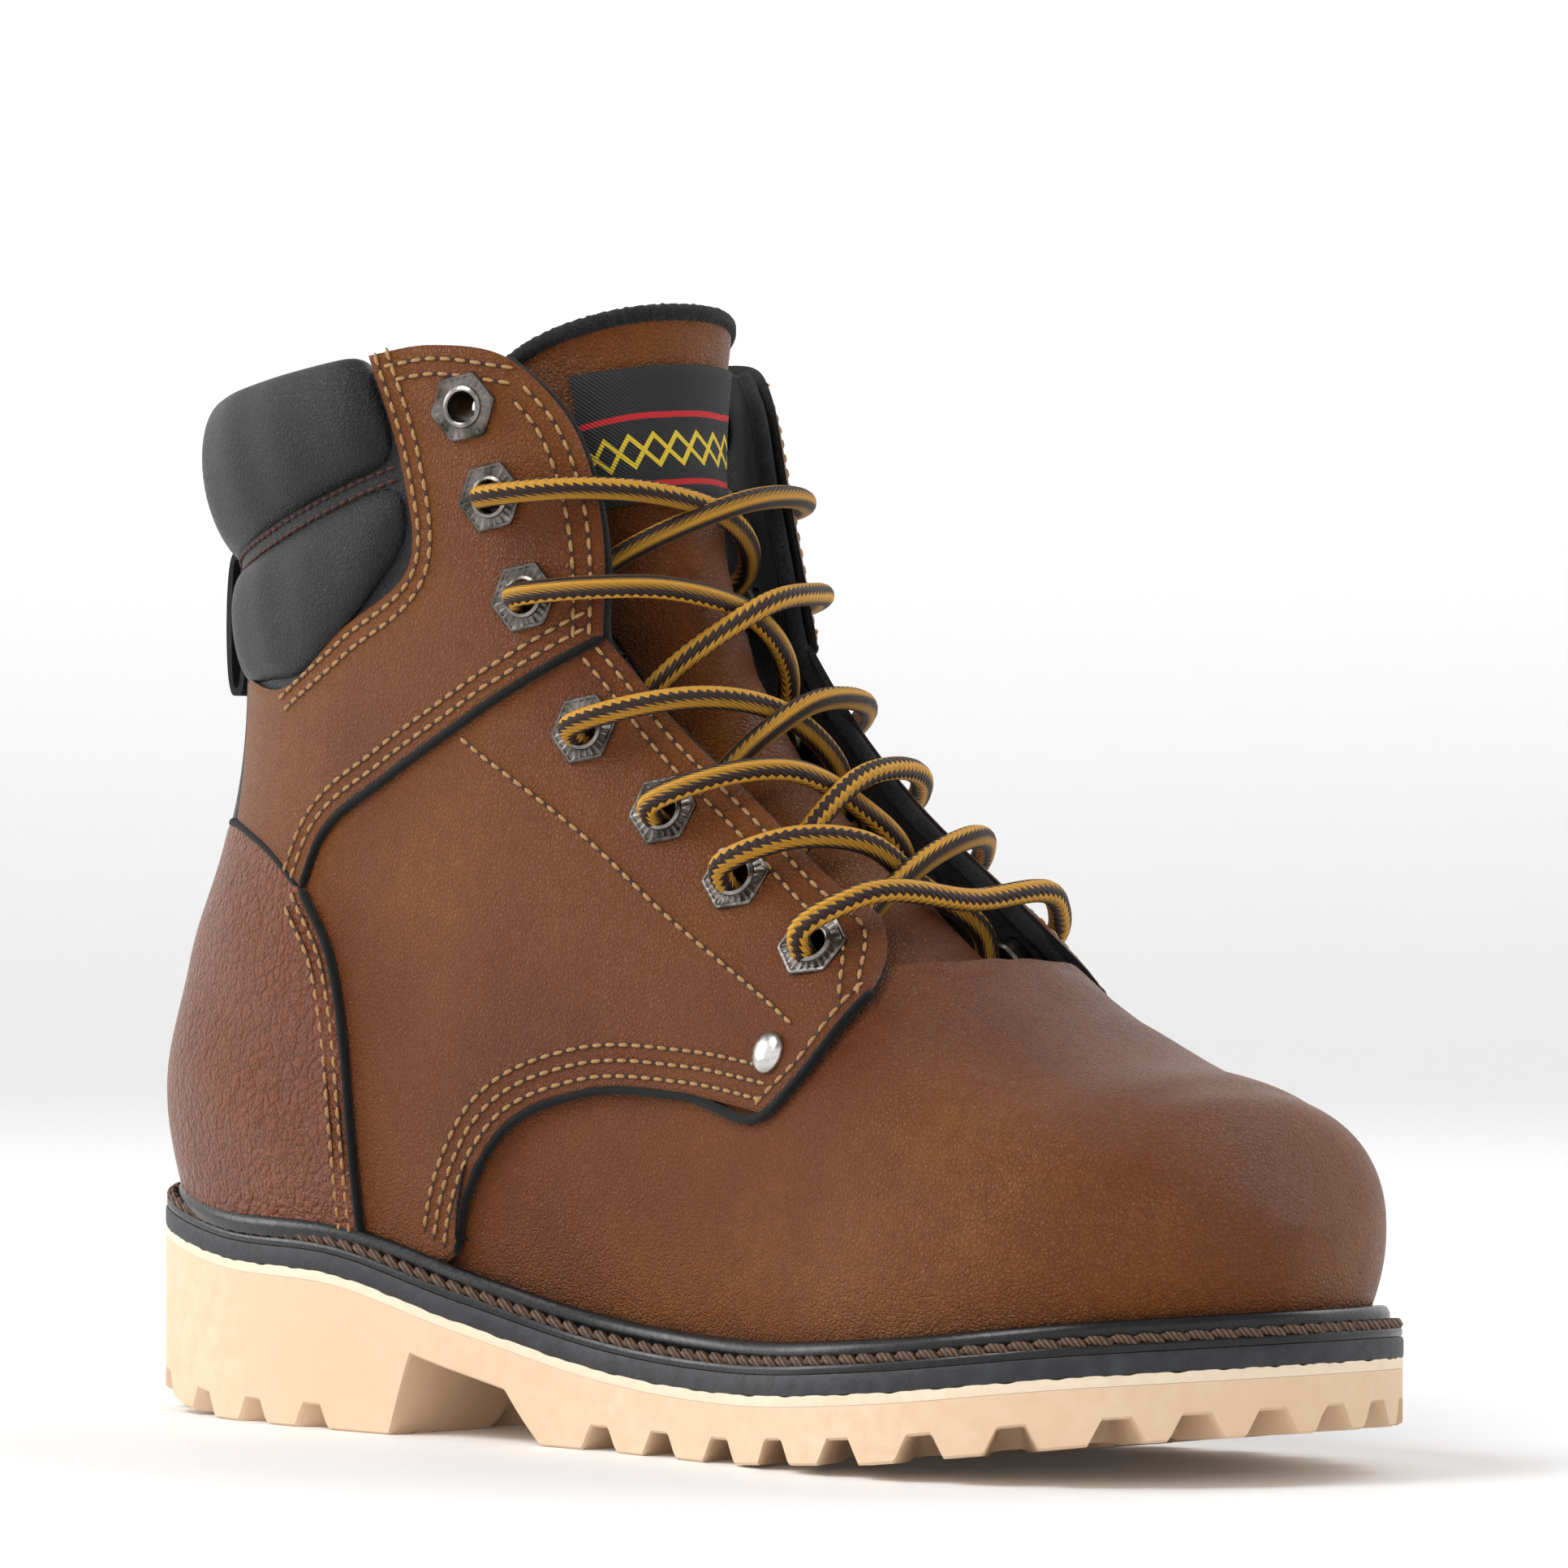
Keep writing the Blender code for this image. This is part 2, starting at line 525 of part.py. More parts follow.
def lining_shape(side):
    bottom = [(-64, 40), (-53, 39), (-41, 37), (-36, 50), (-22, 65), (0, 71), (24, 74)]
    right = [(24, 74), (43, 88), (60, 93), (48, 107), (12, 135), (-9, 156), (-11, 171), (-15, 187), (-22, 203)]
    right += [(-31, 212)]
    left = [(-64, 40), (-63, 60), (-66, 83), (-72, 105), (-74, 130), (-66, 155), (-50, 175), (-51, 192), (-57, 212)]
    top = [left[-1], (-44, 213.5), right[-1]]

    def shape(u, v):
        x, z = coons(bottom, top, left, right, u, v)
        return on_side(x, np.maximum(z, feather_z(x) + 0.6), side)

    return shape


def heel_shape(x_front, z_low, z_high):
    """A piece wrapped round the heel between z_low(u) and z_high(u), its front edge at x_front(z)."""

    def shape(u, v):
        u = 2 * u - 1
        z = z_low(u) + (z_high(u) - z_low(u)) * v
        end = 1 + 0 * u
        edge_z = z_low(end) + (z_high(end) - z_low(end)) * v
        return wrap_heel(x_front(edge_z), z, u)

    return shape


def vamp_shape(x_back, knee, share, v_edge):
    """A piece vaulted over the forefoot: a share of its rows from x_back(v) to the knee, then rows to the toe."""

    def shape(u, v):
        v = (2 * v - 1) * v_edge
        behind = np.clip(u / share, 0, 1)
        ahead = np.clip((u - share) / (1 - share), 0, 1)
        x = x_back(v) + (knee - x_back(v)) * behind + (TOE_X - knee) * np.sin(ahead * math.pi / 2)
        return vault(x, v)

    return shape


def tongue_shape(t_low, t_high, narrower, lift):
    """Part of the tongue: on the throat between two heights, sunk under the laces, deepest at its wings."""

    def shape(u, v):
        t = t_low + (t_high - t_low) * v
        half_angle = smooth(t, [0.1, 0.2, 0.35, 0.5, 0.65, 1], [0.66, 0.68, 0.74, 0.82, 0.95, 1.0]) * narrower
        angle = (2 * u - 1) * half_angle
        points = throat(t, angle)
        ahead = throat(np.minimum(t + 0.004, 1), angle) - throat(np.maximum(t - 0.004, 0), angle)
        across = throat(t, angle + 0.01) - throat(t, angle - 0.01)
        inward = np.cross(ahead, across)
        inward /= np.linalg.norm(inward, axis=-1, keepdims=True)
        sink = smooth(t, [0.08, 0.2, 0.78, 0.88, 1], [10, 10.7, 10.7, 7.5, 3.5])
        return points + inward * (sink + TONGUE_WING_SINK * angle**2 - lift)[:, None]

    return shape


def counter_x(z):
    return smooth(z, [40, 60, 83, 96, 108, 118], [-66, -65, -68, -73, -83, -100])


def holed(obj, *cutter_collections):
    for cutters in cutter_collections:
        cut = obj.modifiers.new(cutters.name, "BOOLEAN")
        cut.operand_type = "COLLECTION"
        cut.collection = cutters
    return obj


def side_panels(parts, holes):
    for label, side in SIDES.items():
        quarter = sheet(f"quarter_{label}", quarter_shape(side), (10, 14), LEATHER, "brown_leather", parts)
        panel = sheet(f"shaft_panel_{label}", shaft_shape(side), (11, 9), LEATHER, "brown_leather", parts)
        lining = sheet(f"quarter_lining_{label}", lining_shape(side), (8, 14), QUARTER_LINING, "black_textile", parts)
        holed(quarter, holes[label], holes["rivet"])
        holed(panel, holes[label])
        holed(lining, holes[label], holes["rivet"])


def heel_pieces(parts):
    def low(u):
        return smooth(np.abs(u), [0, 0.25, 0.5, 0.75, 1], [49.6, 48.4, 43.2, 41.2, 40.2])

    def counter_top(u):
        return smooth(np.abs(u), [0, 0.5, 0.6, 0.8, 1], [119, 119, 117.5, 113.2, 107])

    sheet("counter_pocket", heel_shape(counter_x, low, counter_top), (18, 8), LEATHER,
          "brown_leather", parts)
    sheet("heel_stiffener", heel_shape(lambda z: counter_x(z) - 6, lambda u: low(u) + 1, lambda u: 100 - 12 * u**2),
          (16, 6), STIFFENER, "board", parts)
    sheet("heel_lining", heel_shape(lambda z: smooth(z, [40, 83, 105, 130, 146], [-67, -69, -75, -78, -90]),
          lambda u: low(u) + 1, lambda u: 147 + 0 * u), (16, 10), QUARTER_LINING, "black_textile", parts)
    sheet("backstay", heel_shape(lambda z: BACKSTAY_X + 0 * z, lambda u: BACKSTAY_Z[0] + 0 * u,
          lambda u: BACKSTAY_Z[1] + 0 * u), (6, 4), LEATHER, "black_leather", parts)


def channel_z(u):
    """The stitched channel between the two collar rolls."""
    return 172 + 19 * np.abs(u) ** 1.6


def collar(parts):
    def border(z):
        return smooth(z, [146, 173, 192, 214], [-55, -53, -54, -61])

    def lower_edge(u):
        return smooth(np.abs(u), [0, 0.45, 0.62, 0.85, 1], [152.5, 152.5, 153, 165, 179])

    sheet("collar_pad_upper", heel_shape(border, lambda u: channel_z(u) + 1, lambda u: 208 + 5 * np.abs(u)),
          (18, 4), PAD, "black_leather", parts)
    sheet("collar_pad_lower", heel_shape(border, lower_edge, lambda u: channel_z(u) - 1), (18, 3), PAD,
          "black_leather", parts)
    loops = []
    x, width, rise = -135.6, 11.0, 1.5
    for half_x, half_z in ((2.6, 15.0), (2.6 - rise, 15.0 - rise)):
        turn = np.arange(16) / 16 * 2 * math.pi
        for y in (-width, width):
            loops.append(np.stack([x + half_x * np.cos(turn), y + 0 * turn, 163 + half_z * np.sin(turn)], -1))
    band("pull_loop", [loops[0], loops[1], loops[3], loops[2]], "black_textile", parts)


def forefoot(parts, holes):
    def vamp_back(v):
        return smooth(np.abs(v), [0, 0.15, 0.22, 0.3, 0.37, 0.45, 0.6, 0.7, 1], [75, 73, 70, 50, 4, -18, -32, -39, -43])

    def lining_back(v):
        return smooth(np.abs(v), [0, 0.3, 0.6, 1], [80, 76, 40, -28])

    vamp = sheet("vamp", vamp_shape(vamp_back, 82.0, 0.4, 0.99), (10, 28), VAMP, "brown_leather", parts)
    holed(vamp, holes["rivet"])
    sheet("steel_toe_cap", vamp_shape(lambda v: 98 + 0 * v, 108.0, 1 / 7, 0.94), (7, 14), TOE_CAP, "spring_steel", parts)
    sheet("vamp_lining", vamp_shape(lining_back, 88.0, 1 / 3, 0.9), (9, 14), VAMP_LINING, "black_textile", parts)


def tongue(parts):
    top = sheet("tongue", tongue_shape(0.1, 0.985, 1.0, 0), (8, 12), (0, 1.7), "brown_leather", parts)
    lining = sheet("tongue_lining", tongue_shape(0.115, 1.0, 0.9, 0), (8, 12), (-2.4, 4.5), "black_textile", parts)
    label = sheet("tongue_label", tongue_shape(0.79, 0.92, 0.4, 1.8), (6, 3), (0, 0.8), "black_textile", parts)
    hung("tongue_hinge", TONGUE_HINGE, (top, lining, label), parts)


def placed(x, z, side):
    """Where a fitting sits on the leather, with its +Z along the surface's outward normal."""
    step = 0.5
    slope_x = (half_width(x + step, z, side) - half_width(x - step, z, side)) / (2 * step)
    slope_z = (half_width(x, z + step, side) - half_width(x, z - step, side)) / (2 * step)
    normal = Vector((-float(slope_x), side, -float(slope_z))).normalized()
    point = Vector((x, side * float(half_width(x, z, side)), z)) + normal * LEATHER[0]
    return Matrix.Translation(point * MM) @ normal.to_track_quat("Z", "Y").to_matrix().to_4x4()


def hexagon_radius(turn):
    """Distance from the centre of a hexagon with rounded corners, at each angle."""
    sector = (turn + math.pi / 6) % (math.pi / 3) - math.pi / 6
    return np.minimum(EYELET_FLAT / np.cos(sector), EYELET_FLAT * 1.12)


def eyelet(name, frame, parts):
    """A hexagonal flange on a rolled barrel that passes through the leather and the lining."""
    turn = np.arange(EYELET_SIDES) / EYELET_SIDES * 2 * math.pi
    flange = hexagon_radius(turn)
    section = [(EYELET_BORE + 0 * turn, 1.5), (EYELET_BARREL + 0.4 + 0 * turn, 1.9), (flange, 1.1),
               (flange, 0.4), (EYELET_BARREL + 0 * turn, 0.4), (EYELET_BARREL + 0 * turn, -8.4),
               (EYELET_BARREL + 0.9 + 0 * turn, -8.8), (EYELET_BORE + 0 * turn, -9.4)]
    loops = [np.stack([radius * np.cos(turn), radius * np.sin(turn), z + 0 * turn], -1) for radius, z in section]
    obj = band(name, loops, "antique_metal", parts)
    obj.matrix_world = frame
    return obj


def rivet(name, frame, parts):
    """A domed rivet: a turned profile from the top of the dome down the shank."""
    arc = [(4.0 * math.sin(a), 0.6 + 1.5 * math.cos(a)) for a in np.linspace(0, math.pi / 2, 5)]
    profile = arc + [(4.0, 0.35), (1.4, 0.35), (1.4, -7.0), (0, -7.0)]
    mesh = bpy.data.meshes.new(name)
    points = [(radius * MM, 0, z * MM) for radius, z in profile]
    mesh.from_pydata(points, [(i, i + 1) for i in range(len(points) - 1)], [])
    mesh.materials.append(material("bright_metal"))
    obj = bpy.data.objects.new(name, mesh)
    parts.objects.link(obj)
    screw = obj.modifiers.new("turn", "SCREW")
    screw.steps = 16
    screw.render_steps = 16
    screw.use_merge_vertices = True
    screw.merge_threshold = 0.00001
    obj.matrix_world = frame
    return obj


def hole(name, frame, radius, cutters):
    builder = bmesh.new()
    bmesh.ops.create_cone(builder, cap_ends=True, segments=EYELET_SIDES, radius1=radius, radius2=radius, depth=24)
    obj = finish(builder, name, "antique_metal", cutters)
    obj.matrix_world = frame
    return obj


def fittings(parts, holes):
    for label, side in SIDES.items():
        for number, (x, z) in enumerate(EYELETS, 1):
            frame = placed(x, z, side)
            eyelet(f"eyelet_{label}_{number}", frame, parts)
            hole(f"eyelet_hole_{label}_{number}", frame, EYELET_BARREL + 0.5, holes[label])
        frame = placed(*RIVET, side)
        rivet(f"rivet_{label}", frame, parts)
        hole(f"rivet_hole_{label}", frame, 1.9, holes["rivet"])


def tube(name, points, radius, look, parts):
    """A cord: a curve through the points with a round bevel and filled caps."""
    curve = bpy.data.curves.new(name, "CURVE")
    curve.dimensions = "3D"
    curve.bevel_depth = radius * MM
    curve.bevel_resolution = 2
    curve.use_fill_caps = True
    spline = curve.splines.new("POLY")
    spline.points.add(len(points) - 1)
    for target, point in zip(spline.points, points):
        target.co = (*point, 1)
    curve.materials.append(material(look))
    obj = bpy.data.objects.new(name, curve)
    parts.objects.link(obj)
    return obj


def aglets(parts):
    """The hard tips, each a little beyond an end of the lace and in line with it."""
    for name, tip, before in (("aglet_a", 0, 1), ("aglet_b", -1, -2)):
        end = Vector(LACE_POINTS[tip])
        way = (end - Vector(LACE_POINTS[before])).normalized()
        tube(name, [end + way * 0.3 * MM, end + way * AGLET_LENGTH * MM], AGLET_RADIUS, "aglet_plastic", parts)


def hung(name, hinge, pieces, parts):
    """An empty on a joint's axis that carries the pieces, which stay where they are."""
    axis = bpy.data.objects.new(name, None)
    axis.location = (hinge[0] * MM, 0, hinge[1] * MM)
    parts.objects.link(axis)
    for piece in pieces:
        piece.parent = axis
        piece.location = -axis.location
    return axis


def new_collection(name, hidden):
    made = bpy.data.collections.new(name)
    bpy.context.scene.collection.children.link(made)
    made.hide_render = hidden
    return made


def helpers_hidden(collections):
    for collection in collections:
        for obj in collection.objects:
            obj.hide_render = True
            obj.display_type = "WIRE"


def main():
    for obj in list(bpy.data.objects):
        bpy.data.objects.remove(obj)
    parts = new_collection("steel_toe_work_boot", hidden=False)
    grooves = new_collection("groove_cutters", hidden=True)
    holes = {use: new_collection(f"hole_cutters_{use}", hidden=True) for use in (*SIDES, "rivet")}
    bottom_unit(parts, grooves)
    side_panels(parts, holes)
    heel_pieces(parts)
    collar(parts)
    forefoot(parts, holes)
    tongue(parts)
    fittings(parts, holes)
    tube("lace", LACE_POINTS, LACE_RADIUS, "lace_cord", parts)
    aglets(parts)
    helpers_hidden([grooves, *holes.values()])


main()
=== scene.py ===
"""Finishes of a six-inch steel toe work boot: leather, stitching, sole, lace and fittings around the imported
frame.

Shapes are worked out in millimetres and scaled to metres as each mesh is made. +X is the toe, -Y the outer
side.
"""

import math

import bpy
import numpy as np
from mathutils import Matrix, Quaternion, Vector


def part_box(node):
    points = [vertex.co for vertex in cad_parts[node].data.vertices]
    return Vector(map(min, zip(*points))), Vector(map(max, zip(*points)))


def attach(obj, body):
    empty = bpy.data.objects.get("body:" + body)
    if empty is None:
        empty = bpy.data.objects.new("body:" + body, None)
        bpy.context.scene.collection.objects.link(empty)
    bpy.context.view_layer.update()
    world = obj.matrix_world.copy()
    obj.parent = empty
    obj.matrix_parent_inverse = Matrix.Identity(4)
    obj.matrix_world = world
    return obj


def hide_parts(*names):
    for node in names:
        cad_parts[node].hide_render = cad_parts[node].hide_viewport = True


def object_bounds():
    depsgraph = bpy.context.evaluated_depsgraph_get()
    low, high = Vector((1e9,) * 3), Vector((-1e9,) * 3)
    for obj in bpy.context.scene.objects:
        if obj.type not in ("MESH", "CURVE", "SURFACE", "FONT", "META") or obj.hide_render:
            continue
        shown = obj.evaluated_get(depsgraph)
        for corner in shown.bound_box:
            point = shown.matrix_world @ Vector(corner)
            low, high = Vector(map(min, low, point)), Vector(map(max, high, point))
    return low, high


bl_info = {
    "name": "Steel Toe Work Boot",
    "version": (1, 0, 0),
    "blender": (4, 5, 0),
    "location": "3D View > Sidebar > Boot",
    "description": "Makes the leather, sole, lace and fittings of a steel toe work boot",
    "category": "Add Mesh",
}

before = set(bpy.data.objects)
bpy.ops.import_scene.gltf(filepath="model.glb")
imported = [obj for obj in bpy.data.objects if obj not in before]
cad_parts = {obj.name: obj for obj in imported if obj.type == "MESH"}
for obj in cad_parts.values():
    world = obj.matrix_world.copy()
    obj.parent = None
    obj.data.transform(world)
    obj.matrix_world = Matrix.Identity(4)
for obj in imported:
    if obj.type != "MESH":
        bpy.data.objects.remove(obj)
CAD_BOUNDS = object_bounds()

MM = 0.001
LATERAL, MEDIAL = -1, 1
SIDES = {"lateral": LATERAL, "medial": MEDIAL}

# The sole's outline: half the length, then half-widths at stations along it.
SOLE_HALF = 153.0
SOLE_X = [-153, -143, -120, -90, -50, -5, 40, 75, 105, 132, 148, 153]
SOLE_LATERAL = [0, 23, 34, 40, 42, 41, 47, 54.5, 52.5, 39, 17, 0]
SOLE_MEDIAL = [0, 24, 36, 41, 40, 37, 44, 52, 54, 44, 26, 0]
# The joint line between the pale outsole and the black midsole, and the tread below it.
JOINT_X = [-153, -110, -70, -35, 0, 40, 90, 130, 155]
JOINT_Z = [38, 31, 28.8, 21.2, 14.3, 11.5, 14, 18.3, 20.4]
TREAD_X = [-153, -130, -114, -66, 0, 45, 90, 130, 155]
TREAD_Z = [6, 2, 0, 0, 0, 0, 2.8, 7.6, 9.8]
HEEL_BREAST_X, ARCH_END_X, ARCH_THICKNESS = -54.0, -12.0, 8.0
STRIP, MIDSOLE, WELT = 2.0, 4.0, 2.6
GROOVES_X = [-138, -118, -98, -78, 6, 25, 44, 63, 82, 101, 119, 135]
GROOVE_WIDTH, GROOVE_DEPTH = 8.0, 5.5

# The upper: toe and heel ends, the line where it meets the welt, and its profiles.
TOE_X, HEEL_X = 149.5, -149.0
TOE_TUCK, SIDE_TUCK = 0.03, 0.09
FEATHER_RISE = STRIP + MIDSOLE + WELT
TOP_X = [-60, -20, 0, 20, 46, 70, 88, 105, 125, 141, 150]
TOP_Z = [300, 245, 190, 148, 122, 100, 87, 78, 73, 64, 46]
BACK_Z = [30, 48, 66, 92, 125, 155, 190, 220, 235]
BACK_X = [-139, -145.8, -149, -143.5, -131, -127, -131, -131, -129]
FRONT_Z = [20, 70, 90, 103, 124, 148, 185, 220, 235]
FRONT_X = [60, 70, 74, 65, 43, 19, 0, -7, -10]
SHAFT_Z = [30, 60, 100, 135, 165, 200, 235]
SHAFT_HALF = [34, 40, 39, 36, 37, 41, 44]


# Seams in side view, as (x, z).
COUNTER_EDGE = [(-66, 39), (-65, 60), (-68, 83), (-73, 96), (-83, 108)]
SHAFT_SEAM = [(-83, 108), (-79, 117), (-58, 130.5), (-40, 139.5), (-7, 157)]
FACING = [(-7, 157), (13, 137), (32, 122), (50, 109), (62, 101), (69, 89)]
TIP = [(69, 89), (62, 75), (51, 66)]
VAMP_SEAM = [(51, 66), (25, 69), (-2, 69), (-22, 62), (-34, 48), (-40, 36)]
SHAFT_FRONT = [(-7, 157), (-9, 171), (-13, 187), (-20, 203), (-30, 213)]
PAD_BORDER = [(-59, 214), (-52, 192), (-51, 173), (-72, 160), (-95, 148.5), (-114, 151)]
SHAFT_HEEL = [(-115, 121), (-98, 115.5), (-83, 108)]
BACKSTAY_X = -117.5
THROAT = [(92, 84), (70, 100), (46, 122), (20, 148), (2, 185), (-8, 226)]
THROAT_REACH = 42.0
TONGUE_WING_SINK = 5.0
PROBE = 13.0

EYELETS = [(-37, 203), (-31, 185), (-23, 165), (-8, 139), (12, 123), (31, 110), (53, 97)]
EYELET_BORE, EYELET_FLAT = 3.0, 6.4
RIVET = (51, 77)
LACE_RADIUS = 2.3

# The lace's centreline in metres, from one aglet to the other.
LACE_POINTS = [
    (-0.028, -0.03, 0.07), (-0.04, -0.031, 0.086), (-0.046, -0.03, 0.106),
    (-0.0485, -0.028, 0.13), (-0.0465, -0.0265, 0.154), (-0.041, -0.024, 0.174),
    (-0.034, -0.024, 0.185), (-0.029, -0.0415, 0.185), (-0.011, -0.032, 0.1865),
    (-0.005, -0.02, 0.186), (-0.004, 0.002, 0.1815), (-0.0155, 0.019, 0.172),
    (-0.0265, 0.022, 0.164), (-0.0205, 0.039, 0.1655), (-0.0065, 0.0315, 0.167),
    (0.0015, 0.0215, 0.167), (0.0095, -0.0025, 0.1635), (-0.003, -0.0195, 0.1475),
    (-0.011, -0.022, 0.137), (-0.006, -0.039, 0.14), (0.0065, -0.0325, 0.144),
    (0.014, -0.021, 0.1455), (0.0165, 0.002, 0.1405), (0.0135, 0.0165, 0.129),
    (0.009, 0.019, 0.12), (0.014, 0.0355, 0.125), (0.0235, 0.029, 0.1295),
    (0.0305, 0.0175, 0.132), (0.035, -0.0025, 0.129), (0.032, -0.0165, 0.1145),
    (0.0285, -0.0195, 0.106), (0.0325, -0.036, 0.113), (0.0425, -0.0285, 0.118),
    (0.049, -0.0145, 0.1175), (0.049, 0.002, 0.109), (0.0515, 0.017, 0.0995),
    (0.051, 0.02, 0.0915), (0.0545, 0.035, 0.1005), (0.06, 0.0285, 0.1065),
    (0.064, 0, 0.1065), (0.061, -0.0285, 0.107), (0.0545, -0.037, 0.101),
    (0.0505, -0.022, 0.0915), (0.051, -0.018, 0.1), (0.0525, -0.0025, 0.113),
    (0.0495, 0.015, 0.1185), (0.0415, 0.028, 0.1175), (0.0325, 0.0345, 0.1125),
    (0.0285, 0.018, 0.106), (0.0315, 0.0155, 0.1145), (0.0315, 0.002, 0.125),
    (0.0305, -0.017, 0.1315), (0.0245, -0.0295, 0.13), (0.014, -0.037, 0.125),
    (0.009, -0.0205, 0.12), (0.0135, -0.0175, 0.1295), (0.0205, -0.0025, 0.1435),
    (0.014, 0.0215, 0.1455), (0.0055, 0.0315, 0.1435), (-0.006, 0.038, 0.14),
    (-0.011, 0.0205, 0.137), (-0.0035, 0.0185, 0.147), (0.005, 0.002, 0.161),
    (0.002, -0.021, 0.167), (-0.0055, -0.0325, 0.167), (-0.021, -0.04, 0.1655),
    (-0.026, -0.023, 0.164), (-0.015, -0.0195, 0.1725), (0.0005, -0.0025, 0.1835),
    (-0.0045, 0.02, 0.1865), (-0.0115, 0.0315, 0.186), (-0.029, 0.041, 0.185),
    (-0.034, 0.024, 0.185), (-0.041, 0.023, 0.174), (-0.0465, 0.0255, 0.154),
    (-0.0485, 0.027, 0.13), (-0.046, 0.029, 0.106), (-0.04, 0.03, 0.086),
    (-0.028, 0.029, 0.07),
]


def smooth(x, stations, values):
    """Values read from a smooth cubic curve through the stations, level beyond its ends."""
    xs = np.asarray(stations, float)
    ys = np.asarray(values, float)
    x = np.clip(np.asarray(x, float), xs[0], xs[-1])
    width = np.diff(xs)
    slope = np.diff(ys) / width
    tangent = np.empty_like(ys)
    tangent[1:-1] = (slope[:-1] * width[1:] + slope[1:] * width[:-1]) / (width[:-1] + width[1:])
    tangent[0] = slope[0]
    tangent[-1] = slope[-1]
    i = np.clip(np.searchsorted(xs, x, side="right") - 1, 0, len(width) - 1)
    t = (x - xs[i]) / width[i]
    ends = ys[i] * (1 + 2 * t) * (1 - t) ** 2 + ys[i + 1] * t * t * (3 - 2 * t)
    bends = tangent[i] * t * (1 - t) ** 2 + tangent[i + 1] * t * t * (t - 1)
    return ends + width[i] * bends


def along(points, t):
    """Points at fractions t of the length of a smooth line through the given (x, z) points."""
    points = np.asarray(points, float)
    steps = np.hypot(*np.diff(points, axis=0).T)
    at = np.concatenate([[0], np.cumsum(steps)]) / steps.sum()
    return smooth(t, at, points[:, 0]), smooth(t, at, points[:, 1])


def sole_half_width(x, side):
    """Half-width of the sole at x, read over the angle whose cosine is x so that its ends are round."""
    stations = np.arccos(-np.asarray(SOLE_X) / SOLE_HALF)
    at = np.arccos(np.clip(-np.asarray(x, float) / SOLE_HALF, -1, 1))
    return smooth(at, stations, SOLE_LATERAL if side == LATERAL else SOLE_MEDIAL)


def joint_z(x):
    return smooth(x, JOINT_X, JOINT_Z)


def feather_z(x):
    """Height of the line where the upper meets the welt."""
    return joint_z(x) + FEATHER_RISE


def belly_z(x):
    """Height at which the foot part is widest."""
    return feather_z(x) + smooth(x, [-150, 0, 80, 150], [20, 20, 19, 17])


def tuck(x, z):
    """How far the wall has tucked in below the belly line: 1 is 20 mm below it."""
    return np.clip((belly_z(x) - z) / 20, 0, 1.5) ** 2


def foot_half_width(x, z, side):
    """Half-width of the foot part: a bulging wall low down, and a super-elliptic vault above it."""
    belly = belly_z(x)
    rise = np.maximum(smooth(x, TOP_X, TOP_Z) - belly, 1.0)
    below = tuck(x, z)
    middle = (TOE_X + HEEL_X) / 2
    sole_x = (x / (1 - TOE_TUCK * below) - middle) / ((TOE_X - HEEL_X) / 2) * SOLE_HALF
    inset = smooth(x, [-150, -60, 0, 60, 110, 150], [0, 6, 7, 5, 3, 0])
    widest = np.maximum(sole_half_width(sole_x, side) - inset, 0) * (np.abs(sole_x) < SOLE_HALF)
    power = smooth(x, [0, 60, 110, 150], [1.9, 2.0, 2.5, 2.4])
    vault = np.clip(1 - (np.clip(z - belly, 0, None) / rise) ** power, 0, 1) ** (1 / 2.3)
    heelward = smooth(x, [-105, -60, -30], [0, 0.75, 1])
    return heelward * widest * np.where(z > belly, vault, 1 - SIDE_TUCK * below)


def shaft_half_width(x, z):
    """Half-width of the heel and shaft part, whose level sections are egg-shaped."""
    back = smooth(z, BACK_Z, BACK_X)
    front = smooth(z, FRONT_Z, FRONT_X)
    s = np.clip((x - back) / (front - back), 0, 1)
    widest_at = smooth(z, [30, 100, 150, 220], [0.30, 0.36, 0.46, 0.47])
    t = np.where(s < widest_at, (widest_at - s) / widest_at, (s - widest_at) / (1 - widest_at))
    return smooth(z, SHAFT_Z, SHAFT_HALF) * np.clip(1 - t**2.15, 0, 1) ** (1 / 2.1)


def half_width(x, z, side):
    """Half-width of the whole upper at (x, z): the two parts run together by a high power mean."""
    foot = foot_half_width(x, z, side)
    shaft = shaft_half_width(x, z)
    return (foot**7 + shaft**7) ** (1 / 7)


def inside(point):
    side = np.where(point[..., 1] < 0, LATERAL, MEDIAL)
    x, y, z = point[..., 0], np.abs(point[..., 1]), point[..., 2]
    limit = np.where(side == LATERAL, half_width(x, z, LATERAL), half_width(x, z, MEDIAL))
    return y < limit


def cast(origin, direction, longest=220.0):
    """The points where rays from inside leave the upper's surface, found by halving."""
    low = np.zeros(direction.shape[:-1])
    high = np.full(direction.shape[:-1], longest)
    for _ in range(26):
        middle = (low + high) / 2
        within = inside(origin + direction * middle[..., None])
        low = np.where(within, middle, low)
        high = np.where(within, high, middle)
    return origin + direction * low[..., None]


def on_side(x, z, side):
    return np.stack([x, side * half_width(x, z, side), z], axis=-1)


def coons(bottom, top, left, right, u, v):
    """A side-view patch between four edges: the two ruled patches less the corners' bilinear one."""
    edges = [np.stack(along(edge, t), -1) for edge, t in ((bottom, u), (top, u), (left, v), (right, v))]
    u, v = u[:, None], v[:, None]
    corner = [np.asarray(p, float) for p in (bottom[0], bottom[-1], top[0], top[-1])]
    flat = (1 - v) * ((1 - u) * corner[0] + u * corner[1]) + v * ((1 - u) * corner[2] + u * corner[3])
    patch = (1 - v) * edges[0] + v * edges[1] + (1 - u) * edges[2] + u * edges[3] - flat
    return patch[:, 0], patch[:, 1]


